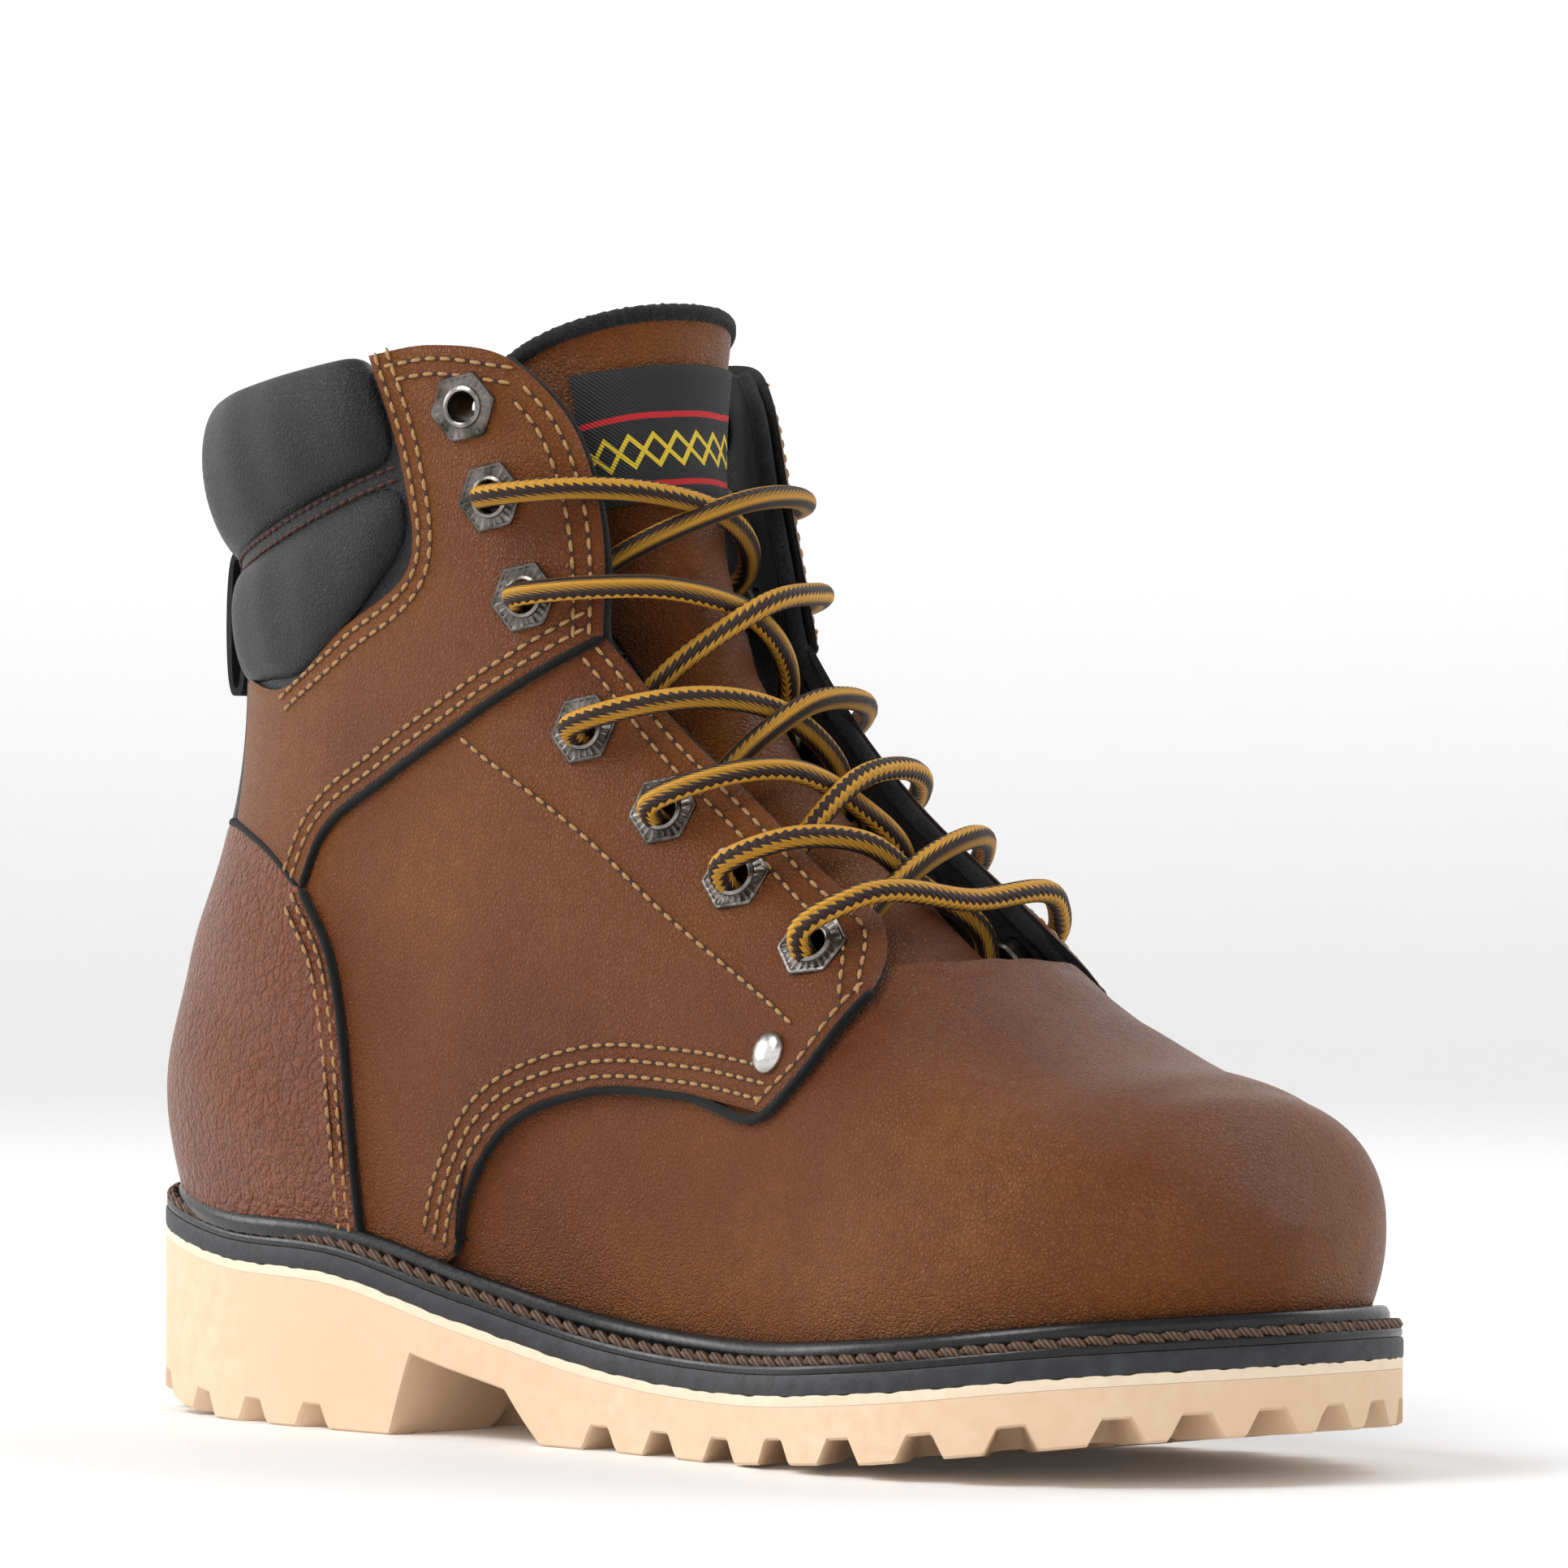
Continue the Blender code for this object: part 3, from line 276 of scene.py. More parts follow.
def wrap_heel(x_edge, z, u, axis_x=-82.0):
    """Points around the heel at height z: u runs -1..1 from x_edge on the outer side to the inner."""
    x_edge = x_edge + 0 * z
    reach = np.where(u < 0, half_width(x_edge, z, LATERAL), half_width(x_edge, z, MEDIAL))
    heading = np.arctan2(reach, axis_x - x_edge) * u
    direction = np.stack([-np.cos(heading), np.sin(heading), 0 * z], -1)
    origin = np.stack([axis_x + 0 * z, 0 * z, z], -1)
    return cast(origin, direction)


def throat(t, angle):
    """Points on the instep: t runs up the throat's centre line, and angle turns away from it."""
    x, z = along(THROAT, t)
    ahead_x, ahead_z = along(THROAT, np.minimum(t + 0.01, 1))
    behind_x, behind_z = along(THROAT, np.maximum(t - 0.01, 0))
    run = np.stack([ahead_x - behind_x, 0 * x, ahead_z - behind_z], -1)
    run /= np.linalg.norm(run, axis=-1, keepdims=True)
    out = np.stack([run[:, 2], 0 * x, -run[:, 0]], -1)
    origin = np.stack([x, 0 * x, z], -1) - THROAT_REACH * out
    sideways = np.array([0.0, 1.0, 0.0])
    return cast(origin, out * np.cos(angle)[:, None] + sideways * np.sin(angle)[:, None])


# ---------------------------------------------------------------- grids and meshes


def lattice(columns, rows):
    """Two parameters, each 0 to 1, over a grid, as flat arrays in which the first runs fastest."""
    u, v = np.meshgrid(np.linspace(0, 1, columns), np.linspace(0, 1, rows))
    return u.ravel(), v.ravel()


def unit(vectors):
    return vectors / np.maximum(np.linalg.norm(vectors, axis=-1, keepdims=True), 1e-9)


def grid_normals(points):
    """Unit normals of a grid: the cross product of its differences along the two parameters."""
    return unit(np.cross(np.gradient(points, axis=1), np.gradient(points, axis=0)))


def facing_out(points, normals):
    """True if most normals point out of the boot."""
    points, normals = points.reshape(-1, 3), normals.reshape(-1, 3)
    return inside(points + PROBE * normals).sum() <= inside(points - PROBE * normals).sum()


def run_length(points, axis):
    """Distance run along the grid's lines from their start."""
    steps = np.linalg.norm(np.diff(points, axis=axis), axis=-1)
    pad = [(1, 0), (0, 0)] if axis == 0 else [(0, 0), (1, 0)]
    return np.cumsum(np.pad(steps, pad), axis=axis)


def edge_distance(points):
    """Distance from the sheet's nearest edge, measured along the grid's lines."""
    across, up = run_length(points, 1), run_length(points, 0)
    return np.minimum(np.minimum(across, across[:, -1:] - across), np.minimum(up, up[-1:] - up))


def quads(rows, columns, close_rows=False, close_columns=False, first=0):
    """The four corners of each cell of a grid, wrapping round in a closed direction."""
    row = np.arange(rows if close_rows else rows - 1)
    column = np.arange(columns if close_columns else columns - 1)
    row, column = np.meshgrid(row, column, indexing="ij")
    next_row, next_column = (row + 1) % rows, (column + 1) % columns
    corners = [row * columns + column, row * columns + next_column]
    corners += [next_row * columns + next_column, next_row * columns + column]
    return first + np.stack(corners, -1).reshape(-1, 4)


def volume(points, faces):
    """Signed volume within the faces: the sum over their triangles of a corner's triple product."""
    a, b, c, d = (points[faces[:, i]] for i in range(4))
    return (np.cross(a, b) * c).sum() + (np.cross(a, c) * d).sum()


def piece(name, points, faces, looks, body, stands_for=(), face_looks=None, uv=None, sharp=50.0):
    """A finished object from points in millimetres and quads, riding on a body of the frame."""
    mesh = bpy.data.meshes.new(name)
    mesh.vertices.add(len(points))
    mesh.vertices.foreach_set("co", (points * MM).astype(np.float32).ravel())
    mesh.loops.add(faces.size)
    mesh.loops.foreach_set("vertex_index", faces.ravel().astype(np.int32))
    mesh.polygons.add(len(faces))
    mesh.polygons.foreach_set("loop_start", np.arange(0, faces.size, 4, dtype=np.int32))
    if face_looks is not None:
        mesh.polygons.foreach_set("material_index", face_looks.astype(np.int32))
    mesh.update(calc_edges=True)
    mesh.shade_smooth()
    mesh.set_sharp_from_angle(angle=math.radians(sharp))
    if uv is not None:
        layer = mesh.uv_layers.new(name="UVMap")
        layer.data.foreach_set("uv", uv.astype(np.float32).ravel())
    for look in looks:
        mesh.materials.append(LOOKS[look]())
    obj = bpy.data.objects.new(name, mesh)
    bpy.context.scene.collection.objects.link(obj)
    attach(obj, body)
    if stands_for:
        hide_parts(*stands_for)
    return obj


def drilled(middle, drills):
    """True for each cell of the grid whose centre lies within a drill's radius of its axis."""
    centre = (middle[:-1, :-1] + middle[1:, :-1] + middle[:-1, 1:] + middle[1:, 1:]) / 4
    out = np.zeros(centre.shape[:2], bool)
    for origin, axis, radius in drills:
        gap = centre - origin
        depth = gap @ axis
        out |= (np.linalg.norm(gap - depth[..., None] * axis, axis=-1) < radius) & (np.abs(depth) < 12)
    return out


def shell(name, shape, counts, layer, looks, body, stands_for=(), rounding=0.6, relief=None, drills=()):
    """A closed sheet: a grid moved out along its normals to its layer, with rounded edges and a rim.

    Cells within a drill are left out. A wall joins the two faces along every edge used only once, which
    closes the outline and the holes. looks are the outside, the underside and the walls.
    """
    columns, rows = counts
    middle = shape(*lattice(columns, rows)).reshape(rows, columns, 3)
    normals = grid_normals(middle)
    outwards = facing_out(middle, normals)
    normals = normals if outwards else -normals
    outer, thickness = layer
    edge = edge_distance(middle)
    lift = outer - rounding * np.exp(-((edge / 0.9) ** 2))
    if relief is not None:
        lift = lift + relief(middle, edge)
    top = middle + normals * lift[..., None]
    under = middle + normals * (outer - thickness)
    count = rows * columns
    points = np.concatenate([top.reshape(-1, 3), under.reshape(-1, 3)])
    upper = quads(rows, columns)[~drilled(middle, drills).ravel()]
    edges = np.concatenate([upper[:, [corner, (corner + 1) % 4]] for corner in range(4)])
    a, b = edges[~np.isin(edges @ [count, 1], edges @ [1, count])].T
    faces = np.concatenate([upper, upper[:, ::-1] + count, np.stack([b, a, a + count, b + count], -1)])
    kinds = np.repeat([0, 1, 2], [len(upper), len(upper), len(a)])
    uv = np.stack([run_length(middle, 1), run_length(middle, 0)], -1).reshape(-1, 2) * MM
    used, faces = np.unique(faces if outwards else faces[:, ::-1], return_inverse=True)
    faces = faces.reshape(-1, 4)
    return piece(name, points[used], faces, looks, body, stands_for, kinds,
                 np.concatenate([uv, uv])[used][faces])


def loft(name, grid, looks, body, stands_for=(), face_looks=None, sharp=50.0, round_first=True):
    """A closed body through a grid: its columns close on themselves, and its first and last rows are poles
    or meet."""
    rows, columns = grid.shape[:2]
    faces = quads(rows, columns, close_rows=not round_first, close_columns=True)
    points = grid.reshape(-1, 3)
    if volume(points, faces) < 0:
        faces = faces[:, ::-1]
    column = faces % columns
    around = np.where((column == 0) & (column.max(1) == columns - 1)[:, None], columns, column) / columns
    uv = np.stack([around, (run_length(grid, 0) * MM).ravel()[faces]], -1)
    return piece(name, points, faces, looks, body, stands_for, face_looks, uv, sharp)


def rod_sections(path, normals, wide, high, sides, taper):
    """Elliptic sections along a path, shrinking to a pole at both ends over the taper length."""
    path = np.concatenate([path[:1], path, path[-1:]])
    normals = np.concatenate([normals[:1], normals, normals[-1:]])
    run = run_length(path[:, None], 0)[:, 0]
    ahead = unit(np.gradient(path, axis=0) + 1e-9)
    across = unit(np.cross(ahead, normals))
    upright = np.cross(across, ahead)
    ends = np.clip(np.minimum(run, run[-1] - run) / taper, 0, 1)
    size = np.sqrt(np.clip(1 - (1 - ends) ** 2, 0, 1))
    size[[0, -1]] = 0
    turn = np.arange(sides) / sides * 2 * math.pi
    ring = upright[:, None] * (np.cos(turn) * high)[None, :, None]
    ring = ring + across[:, None] * (np.sin(turn) * wide)[None, :, None]
    return path[:, None] + ring * size[:, None, None]


def resample(path, step):
    """The path at even steps."""
    run = run_length(path[:, None], 0)[:, 0]
    at = np.arange(0, run[-1], step)
    return np.stack([np.interp(at, run, path[:, i]) for i in range(3)], -1)


def skin_normals(points):
    """Outward unit normals of the upper near the points: the gradient of its half-width."""
    x, z, side = points[:, 0], points[:, 2], np.where(points[:, 1] < 0, -1.0, 1.0)
    step = 0.5

    def width(x, z):
        return np.where(side < 0, half_width(x, z, LATERAL), half_width(x, z, MEDIAL))

    slope_x = (width(x + step, z) - width(x - step, z)) / (2 * step)
    slope_z = (width(x, z + step) - width(x, z - step)) / (2 * step)
    return unit(np.stack([-slope_x, side, -slope_z], -1))


def side_line(points, side, shift=0.0, step=0.7):
    """A smooth line drawn on one side in side view, moved sideways by shift, as points and normals."""
    x, z = along(points, np.linspace(0, 1, 200))
    ahead = unit(np.stack([np.gradient(x), np.gradient(z)], -1))
    x, z = x - ahead[:, 1] * shift, z + ahead[:, 0] * shift
    path = resample(on_side(x, z, side), step)
    return path, skin_normals(path)


def thread(name, lines, pitch, length, radius, look, body, slant=0.0):
    """Rows of stitches: along each line, at every pitch, a rod of rounded ends that dips at both ends."""
    t = np.array([-1, -0.9, -0.45, 0, 0.45, 0.9, 1.0])
    fat = np.array([0, 0.6, 0.95, 1, 0.95, 0.6, 0])
    turn = np.arange(6) / 6 * 2 * math.pi
    centres, aheads, ups = [], [], []
    for path, normals in lines:
        run = run_length(path[:, None], 0)[:, 0]
        at = np.arange(pitch / 2, run[-1], pitch)
        centres.append(np.stack([np.interp(at, run, path[:, i]) for i in range(3)], -1))
        ups.append(unit(np.stack([np.interp(at, run, normals[:, i]) for i in range(3)], -1)))
        ahead = unit(np.gradient(path, axis=0))
        aheads.append(unit(np.stack([np.interp(at, run, ahead[:, i]) for i in range(3)], -1)))
    centre, up, ahead = (np.concatenate(part) for part in (centres, ups, aheads))
    across = np.cross(ahead, up)
    ahead = ahead * math.cos(slant) + across * math.sin(slant)
    across = np.cross(ahead, up)
    spine = centre[:, None] + ahead[:, None] * (t * length / 2)[None, :, None]
    spine = spine + up[:, None] * (radius * (0.45 - 1.1 * t**4))[None, :, None]
    ring = up[:, None, None] * np.cos(turn)[None, None, :, None] + across[:, None,
        None] * np.sin(turn)[None, None, :, None]
    points = spine[:, :, None] + ring * (radius * fat)[None, :, None, None]
    one = quads(len(t), len(turn), close_columns=True)
    if volume(points[0].reshape(-1, 3), one) < 0:
        one = one[:, ::-1]
    faces = (np.arange(len(centre))[:, None, None] * len(t) * len(turn) + one[None]).reshape(-1, 4)
    return piece(name, points.reshape(-1, 3), faces, [look], body, sharp=80)


def piping(name, lines, wide, high, look, body, lift=0.0):
    """Soft trim along lines: an elliptic rod laid on each, in one mesh."""
    points, faces, count = [], [], 0
    for path, normals in lines:
        grid = rod_sections(path + normals * lift, normals, wide, high, 10, 2.0)
        cells = quads(*grid.shape[:2], close_columns=True)
        flat = grid.reshape(-1, 3)
        cells = cells[:, ::-1] if volume(flat, cells) < 0 else cells
        points.append(flat)
        faces.append(cells + count)
        count += len(flat)
    return piece(name, np.concatenate(points), np.concatenate(faces), [look], body, sharp=80)


# ---------------------------------------------------------------- shader groups


def node(tree, kind, inputs=None, **settings):
    """A node with its settings, whose inputs take values or other nodes' outputs."""
    made = tree.nodes.new(kind)
    for key, value in settings.items():
        setattr(made, key, value)
    for key, value in (inputs or {}).items():
        if isinstance(value, bpy.types.NodeSocket):
            tree.links.new(value, made.inputs[key])
        else:
            made.inputs[key].default_value = value
    return made


def maths(tree, operation, a, b=0.5, clamp=False):
    return node(tree, "ShaderNodeMath", {0: a, 1: b}, operation=operation, use_clamp=clamp).outputs[0]


def spread(tree, value, low, high, to_low=0.0, to_high=1.0):
    inputs = {"Value": value, "From Min": low, "From Max": high, "To Min": to_low, "To Max": to_high}
    return node(tree, "ShaderNodeMapRange", inputs).outputs["Result"]


def blend_colours(tree, amount, a, b, mode="MIX"):
    made = node(tree, "ShaderNodeMix", data_type="RGBA", blend_type=mode)
    for socket, value in ((made.inputs[0], amount), (made.inputs[6], a), (made.inputs[7], b)):
        if isinstance(value, bpy.types.NodeSocket):
            tree.links.new(value, socket)
        else:
            socket.default_value = value
    return made.outputs[2]


def new_group(name, inputs, outputs):
    tree = bpy.data.node_groups.new(name, "ShaderNodeTree")
    for label, kind in inputs:
        tree.interface.new_socket(label, in_out="INPUT", socket_type=kind)
    for label in outputs:
        tree.interface.new_socket(label, in_out="OUTPUT", socket_type="NodeSocketFloat")
    return tree, node(tree, "NodeGroupInput").outputs, node(tree, "NodeGroupOutput").inputs


def grain_group():
    """Leather grain: rounded cells of two sizes between creases, with fine pores and long soft wrinkles."""
    if "Leather grain" in bpy.data.node_groups:
        return bpy.data.node_groups["Leather grain"]
    floats = "NodeSocketFloat"
    tree, given, out = new_group(
        "Leather grain", [("Place", "NodeSocketVector"), ("Scale", floats), ("Wrinkle", floats)],
        ["Height", "CreaseShade"])
    bend = node(tree, "ShaderNodeTexNoise", {"Vector": given["Place"], "Scale": 90.0, "Detail": 3.0})
    bent = node(tree, "ShaderNodeVectorMath", {0: bend.outputs["Color"], 1: (0.0016, 0.0016, 0.0016)},
                operation="MULTIPLY")
    place = node(tree, "ShaderNodeVectorMath", {0: given["Place"], 1: bent.outputs[0]},
                 operation="ADD").outputs[0]
    big = node(tree, "ShaderNodeTexVoronoi", {"Vector": place, "Scale": given["Scale"]},
               feature="DISTANCE_TO_EDGE")
    twice = maths(tree, "MULTIPLY", given["Scale"], 2.3)
    small = node(tree, "ShaderNodeTexVoronoi", {"Vector": place, "Scale": twice}, feature="DISTANCE_TO_EDGE")
    pores = node(tree, "ShaderNodeTexNoise", {"Vector": place, "Scale": 2600.0, "Detail": 2.0})
    folds = node(tree, "ShaderNodeTexNoise", {"Vector": place, "Scale": 210.0, "Detail": 5.0,
                                              "Roughness": 0.62})
    cells = spread(tree, big.outputs["Distance"], 0.0, 0.22)
    fine = spread(tree, small.outputs["Distance"], 0.0, 0.25)
    height = maths(tree, "ADD", maths(tree, "MULTIPLY", cells, 0.5), maths(tree, "MULTIPLY", fine, 0.3))
    height = maths(tree, "ADD", height, maths(tree, "MULTIPLY", pores.outputs["Fac"], 0.18))
    wrinkle = maths(tree, "MULTIPLY", folds.outputs["Fac"], given["Wrinkle"])
    tree.links.new(maths(tree, "ADD", height, wrinkle), out["Height"])
    # Crease mask, 1 between the cells, used to paint shade into the creases.
    tree.links.new(maths(tree, "SUBTRACT", 1.0, cells), out["CreaseShade"])
    return tree


def mottle_group():
    """Two soft masks of uneven dye: broad clouds a few centimetres across, and small flecks."""
    if "Mottling" in bpy.data.node_groups:
        return bpy.data.node_groups["Mottling"]
    tree, given, out = new_group("Mottling", [("Place", "NodeSocketVector")], ["Broad", "Fleck"])
    broad = node(tree, "ShaderNodeTexNoise", {"Vector": given["Place"], "Scale": 17.0, "Detail": 3.0})
    fleck = node(tree, "ShaderNodeTexNoise", {"Vector": given["Place"], "Scale": 240.0, "Detail": 5.0})
    tree.links.new(spread(tree, broad.outputs["Fac"], 0.36, 0.64), out["Broad"])
    tree.links.new(spread(tree, fleck.outputs["Fac"], 0.35, 0.7), out["Fleck"])
    return tree


def weave_group():
    """A twill: ribs that run on the slant across two crossing sets of threads, at a given thread width."""
    if "Twill" in bpy.data.node_groups:
        return bpy.data.node_groups["Twill"]
    tree, given, out = new_group("Twill", [("Place", "NodeSocketVector"), ("Threads", "NodeSocketFloat")],
                                 ["Height"])
    parts = node(tree, "ShaderNodeSeparateXYZ", {0: given["Place"]}).outputs
    u = maths(tree, "MULTIPLY", parts[0], given["Threads"])
    v = maths(tree, "MULTIPLY", parts[1], given["Threads"])
    ribs = maths(tree, "SINE", maths(tree, "MULTIPLY", maths(tree, "ADD", u, v), math.pi))
    rows = maths(tree, "SINE", maths(tree, "MULTIPLY", v, 2 * math.pi))
    tree.links.new(spread(tree, maths(tree, "ADD", ribs, maths(tree, "MULTIPLY", rows, 0.5)), -1.5, 1.5),
                   out["Height"])
    return tree


def principled(name):
    """A new material and its shader, with the Object and UV coordinates at hand."""
    made = bpy.data.materials.new(name)
    made.use_nodes = True
    tree = made.node_tree
    place = node(tree, "ShaderNodeTexCoord")
    return made, tree, tree.nodes["Principled BSDF"], place.outputs["Object"], place.outputs["UV"]


def use(tree, group, **inputs):
    made = node(tree, "ShaderNodeGroup", node_tree=group)
    for key, value in inputs.items():
        if isinstance(value, bpy.types.NodeSocket):
            tree.links.new(value, made.inputs[key])
        else:
            made.inputs[key].default_value = value
    return made.outputs


def bump(tree, shader, height, strength, distance):
    made = node(tree, "ShaderNodeBump", {"Height": height, "Strength": strength, "Distance": distance})
    tree.links.new(made.outputs[0], shader.inputs["Normal"])


def colour(value):
    return (*value, 1.0)


def leather(name, base, red, gold, grain, wrinkle, depth, roughness):
    """Full-grain leather: dye in broad clouds of three tones, with painted shade darkening the grain's
    creases.
    """
    made, tree, shader, place, _ = principled(name)
    mottle = use(tree, mottle_group(), Place=place)
    surface = use(tree, grain_group(), Place=place, Scale=grain, Wrinkle=wrinkle)
    tone = blend_colours(tree, mottle["Broad"], colour(red), colour(gold))
    tone = blend_colours(tree, spread(tree, mottle["Fleck"], 0, 1, 0.25, 0.75), colour(base), tone)
    # Painted shade: the grain's creases darkened towards 0.4 of the base colour.
    dark = blend_colours(tree, spread(tree, surface["CreaseShade"], 0.5, 1.0, 0.0, 0.34), tone,
                         colour([channel * 0.4 for channel in base]))
    tree.links.new(dark, shader.inputs["Base Color"])
    tree.links.new(spread(tree, surface["Height"], 0.2, 1.1, roughness + 0.14, roughness - 0.06),
                   shader.inputs["Roughness"])
    shader.inputs["Specular IOR Level"].default_value = 0.28
    bump(tree, shader, surface["Height"], 0.7, depth)
    return made


def rubber(name, base, dust, roughness, depth, scale):
    """Moulded rubber: a fine uneven skin with paler scuffs."""
    made, tree, shader, place, _ = principled(name)
    mottle = use(tree, mottle_group(), Place=place)
    skin = node(tree, "ShaderNodeTexNoise", {"Vector": place, "Scale": scale, "Detail": 6.0,
                                             "Roughness": 0.65})
    scuff = maths(tree, "MULTIPLY", mottle["Fleck"], mottle["Broad"])
    tree.links.new(blend_colours(tree, scuff, colour(base), colour(dust)), shader.inputs["Base Color"])
    tree.links.new(spread(tree, skin.outputs["Fac"], 0.3, 0.7, roughness - 0.07, roughness + 0.1),
                   shader.inputs["Roughness"])
    shader.inputs["Specular IOR Level"].default_value = 0.35
    bump(tree, shader, skin.outputs["Fac"], 0.4, depth)
    return made


def felt(name, base, pale, threads):
    """Felted cloth: a fuzzy pile with paler fibres, over a faint weave where threads is above zero."""
    made, tree, shader, place, uv = principled(name)
    pile = node(tree, "ShaderNodeTexNoise", {"Vector": place, "Scale": 1500.0, "Detail": 6.0,
                                             "Roughness": 0.8})
    clumps = node(tree, "ShaderNodeTexNoise", {"Vector": place, "Scale": 330.0, "Detail": 4.0})
    twill = use(tree, weave_group(), Place=uv, Threads=threads)
    amount = maths(tree, "MULTIPLY", spread(tree, pile.outputs["Fac"], 0.45, 0.75), clumps.outputs["Fac"])
    tree.links.new(blend_colours(tree, amount, colour(base), colour(pale)), shader.inputs["Base Color"])
    tree.links.new(spread(tree, pile.outputs["Fac"], 0, 1, 0.8, 1.0), shader.inputs["Roughness"])
    shader.inputs["Sheen Weight"].default_value = 0.08
    shader.inputs["Specular IOR Level"].default_value = 0.2
    bump(tree, shader, maths(tree, "ADD", pile.outputs["Fac"], twill["Height"]), 0.7, 0.0004)
    return made


def metal(name, bright, dark, roughness, depth):
    """Plated metal with the plating rubbed in small clouds between a bright and a dark tone."""
    made, tree, shader, place, _ = principled(name)
    mottle = use(tree, mottle_group(), Place=place)
    hammered = node(tree, "ShaderNodeTexNoise", {"Vector": place, "Scale": 1100.0, "Detail": 3.0})
    tree.links.new(blend_colours(tree, mottle["Fleck"], colour(bright), colour(dark)),
                   shader.inputs["Base Color"])
    tree.links.new(spread(tree, hammered.outputs["Fac"], 0.3, 0.7, roughness - 0.08, roughness + 0.12),
                   shader.inputs["Roughness"])
    shader.inputs["Metallic"].default_value = 1.0
    bump(tree, shader, hammered.outputs["Fac"], 0.3, depth)
    return made


def twisted(name, base, dark, strands, pitch):
    """Thread or cord of twisted strands: slanting stripes along the stitch, from its own coordinates."""
    made, tree, shader, place, _ = principled(name)
    waves = node(tree, "ShaderNodeTexWave", {"Vector": place, "Scale": pitch, "Distortion": 1.5,
                                             "Detail": 1.0},
                 bands_direction="DIAGONAL")
    hair = node(tree, "ShaderNodeTexNoise", {"Vector": place, "Scale": strands, "Detail": 4.0})
    mixed = maths(tree, "MULTIPLY", waves.outputs["Fac"], hair.outputs["Fac"])
    tree.links.new(blend_colours(tree, spread(tree, mixed, 0.1, 0.6), colour(dark), colour(base)),
                   shader.inputs["Base Color"])
    tree.links.new(spread(tree, hair.outputs["Fac"], 0.3, 0.7, 0.6, 0.85), shader.inputs["Roughness"])
    bump(tree, shader, waves.outputs["Fac"], 0.6, 0.0002)
    return made


def braid(name, gold, dark):
    """Round braided cord: gold and dark stripes run along it, their edges in teeth, each tooth a rounded
    strand."""
    made, tree, shader, place, uv = principled(name)
    parts = node(tree, "ShaderNodeSeparateXYZ", {0: uv}).outputs
    run = maths(tree, "MULTIPLY", parts[1], 1000.0 / LACE_PITCH)
    tooth = maths(tree, "ABSOLUTE", maths(tree, "SUBTRACT", maths(tree, "FRACT", run), 0.5))
    around = maths(tree, "ADD", maths(tree, "MULTIPLY", parts[0], LACE_STRIPES),
                   maths(tree, "MULTIPLY", tooth, 0.45))
    band = maths(tree, "ABSOLUTE", maths(tree, "SUBTRACT", maths(tree, "FRACT", around), 0.5))
    stripe = spread(tree, band, 0.23, 0.28)
    twice = maths(tree, "FRACT", maths(tree, "ADD", maths(tree, "MULTIPLY", around, 2.0), 0.5))
    strand = maths(tree, "SUBTRACT", 0.5, maths(tree, "ABSOLUTE", maths(tree, "SUBTRACT", twice, 0.5)))
    hair = node(tree, "ShaderNodeTexNoise", {"Vector": place, "Scale": 3000.0, "Detail": 4.0})
    shade = blend_colours(tree, spread(tree, hair.outputs["Fac"], 0.3, 0.7, 0.0, 0.5), colour(gold),
                          colour([channel * 0.5 for channel in gold]))
    tree.links.new(blend_colours(tree, stripe, colour(dark), shade), shader.inputs["Base Color"])
    tree.links.new(spread(tree, hair.outputs["Fac"], 0.3, 0.7, 0.6, 0.85), shader.inputs["Roughness"])
    bump(tree, shader, maths(tree, "ADD", strand, maths(tree, "MULTIPLY", tooth, 0.7)), 0.9, 0.0007)
    return made


def label_cloth(name):
    """A woven label: black twill, a red line near its top and bottom, and a row of yellow chevrons
    between."""
    made, tree, shader, place, uv = principled(name)
    parts = node(tree, "ShaderNodeSeparateXYZ", {0: uv}).outputs
    across = maths(tree, "MULTIPLY", parts[0], 1000.0)
    up = maths(tree, "MULTIPLY", parts[1], 1000.0)
    middle = maths(tree, "ABSOLUTE", maths(tree, "SUBTRACT", up, LABEL_HEIGHT / 2))
    bars = maths(tree, "COMPARE", middle, LABEL_HEIGHT / 2 - 3.2)
    tree.nodes[-1].inputs[2].default_value = 0.6
    fold = maths(tree, "ABSOLUTE", maths(tree, "SUBTRACT", maths(tree, "FRACT",
                 maths(tree, "DIVIDE", across, 5.0)), 0.5))
    height = maths(tree, "SUBTRACT", middle, maths(tree, "MULTIPLY", fold, 6.0))
    chevron = maths(tree, "COMPARE", height, 0.0)
    tree.nodes[-1].inputs[2].default_value = 0.7
    near = maths(tree, "LESS_THAN", middle, 3.6)
    twill = use(tree, weave_group(), Place=uv, Threads=2200.0)
    ground = blend_colours(tree, twill["Height"], (0.004, 0.004, 0.005, 1), (0.03, 0.03, 0.033, 1))
    red = blend_colours(tree, bars, ground, (0.55, 0.015, 0.02, 1))
    yellow = blend_colours(tree, maths(tree, "MULTIPLY", chevron, near), red, (0.75, 0.55, 0.03, 1))
    tree.links.new(yellow, shader.inputs["Base Color"])
    shader.inputs["Roughness"].default_value = 0.75
    bump(tree, shader, twill["Height"], 0.8, 0.0003)
    return made


def look(maker, name, *values):
    """A function that makes the material once and then gives it again."""
    return lambda: bpy.data.materials.get(name) or maker(name, *values)


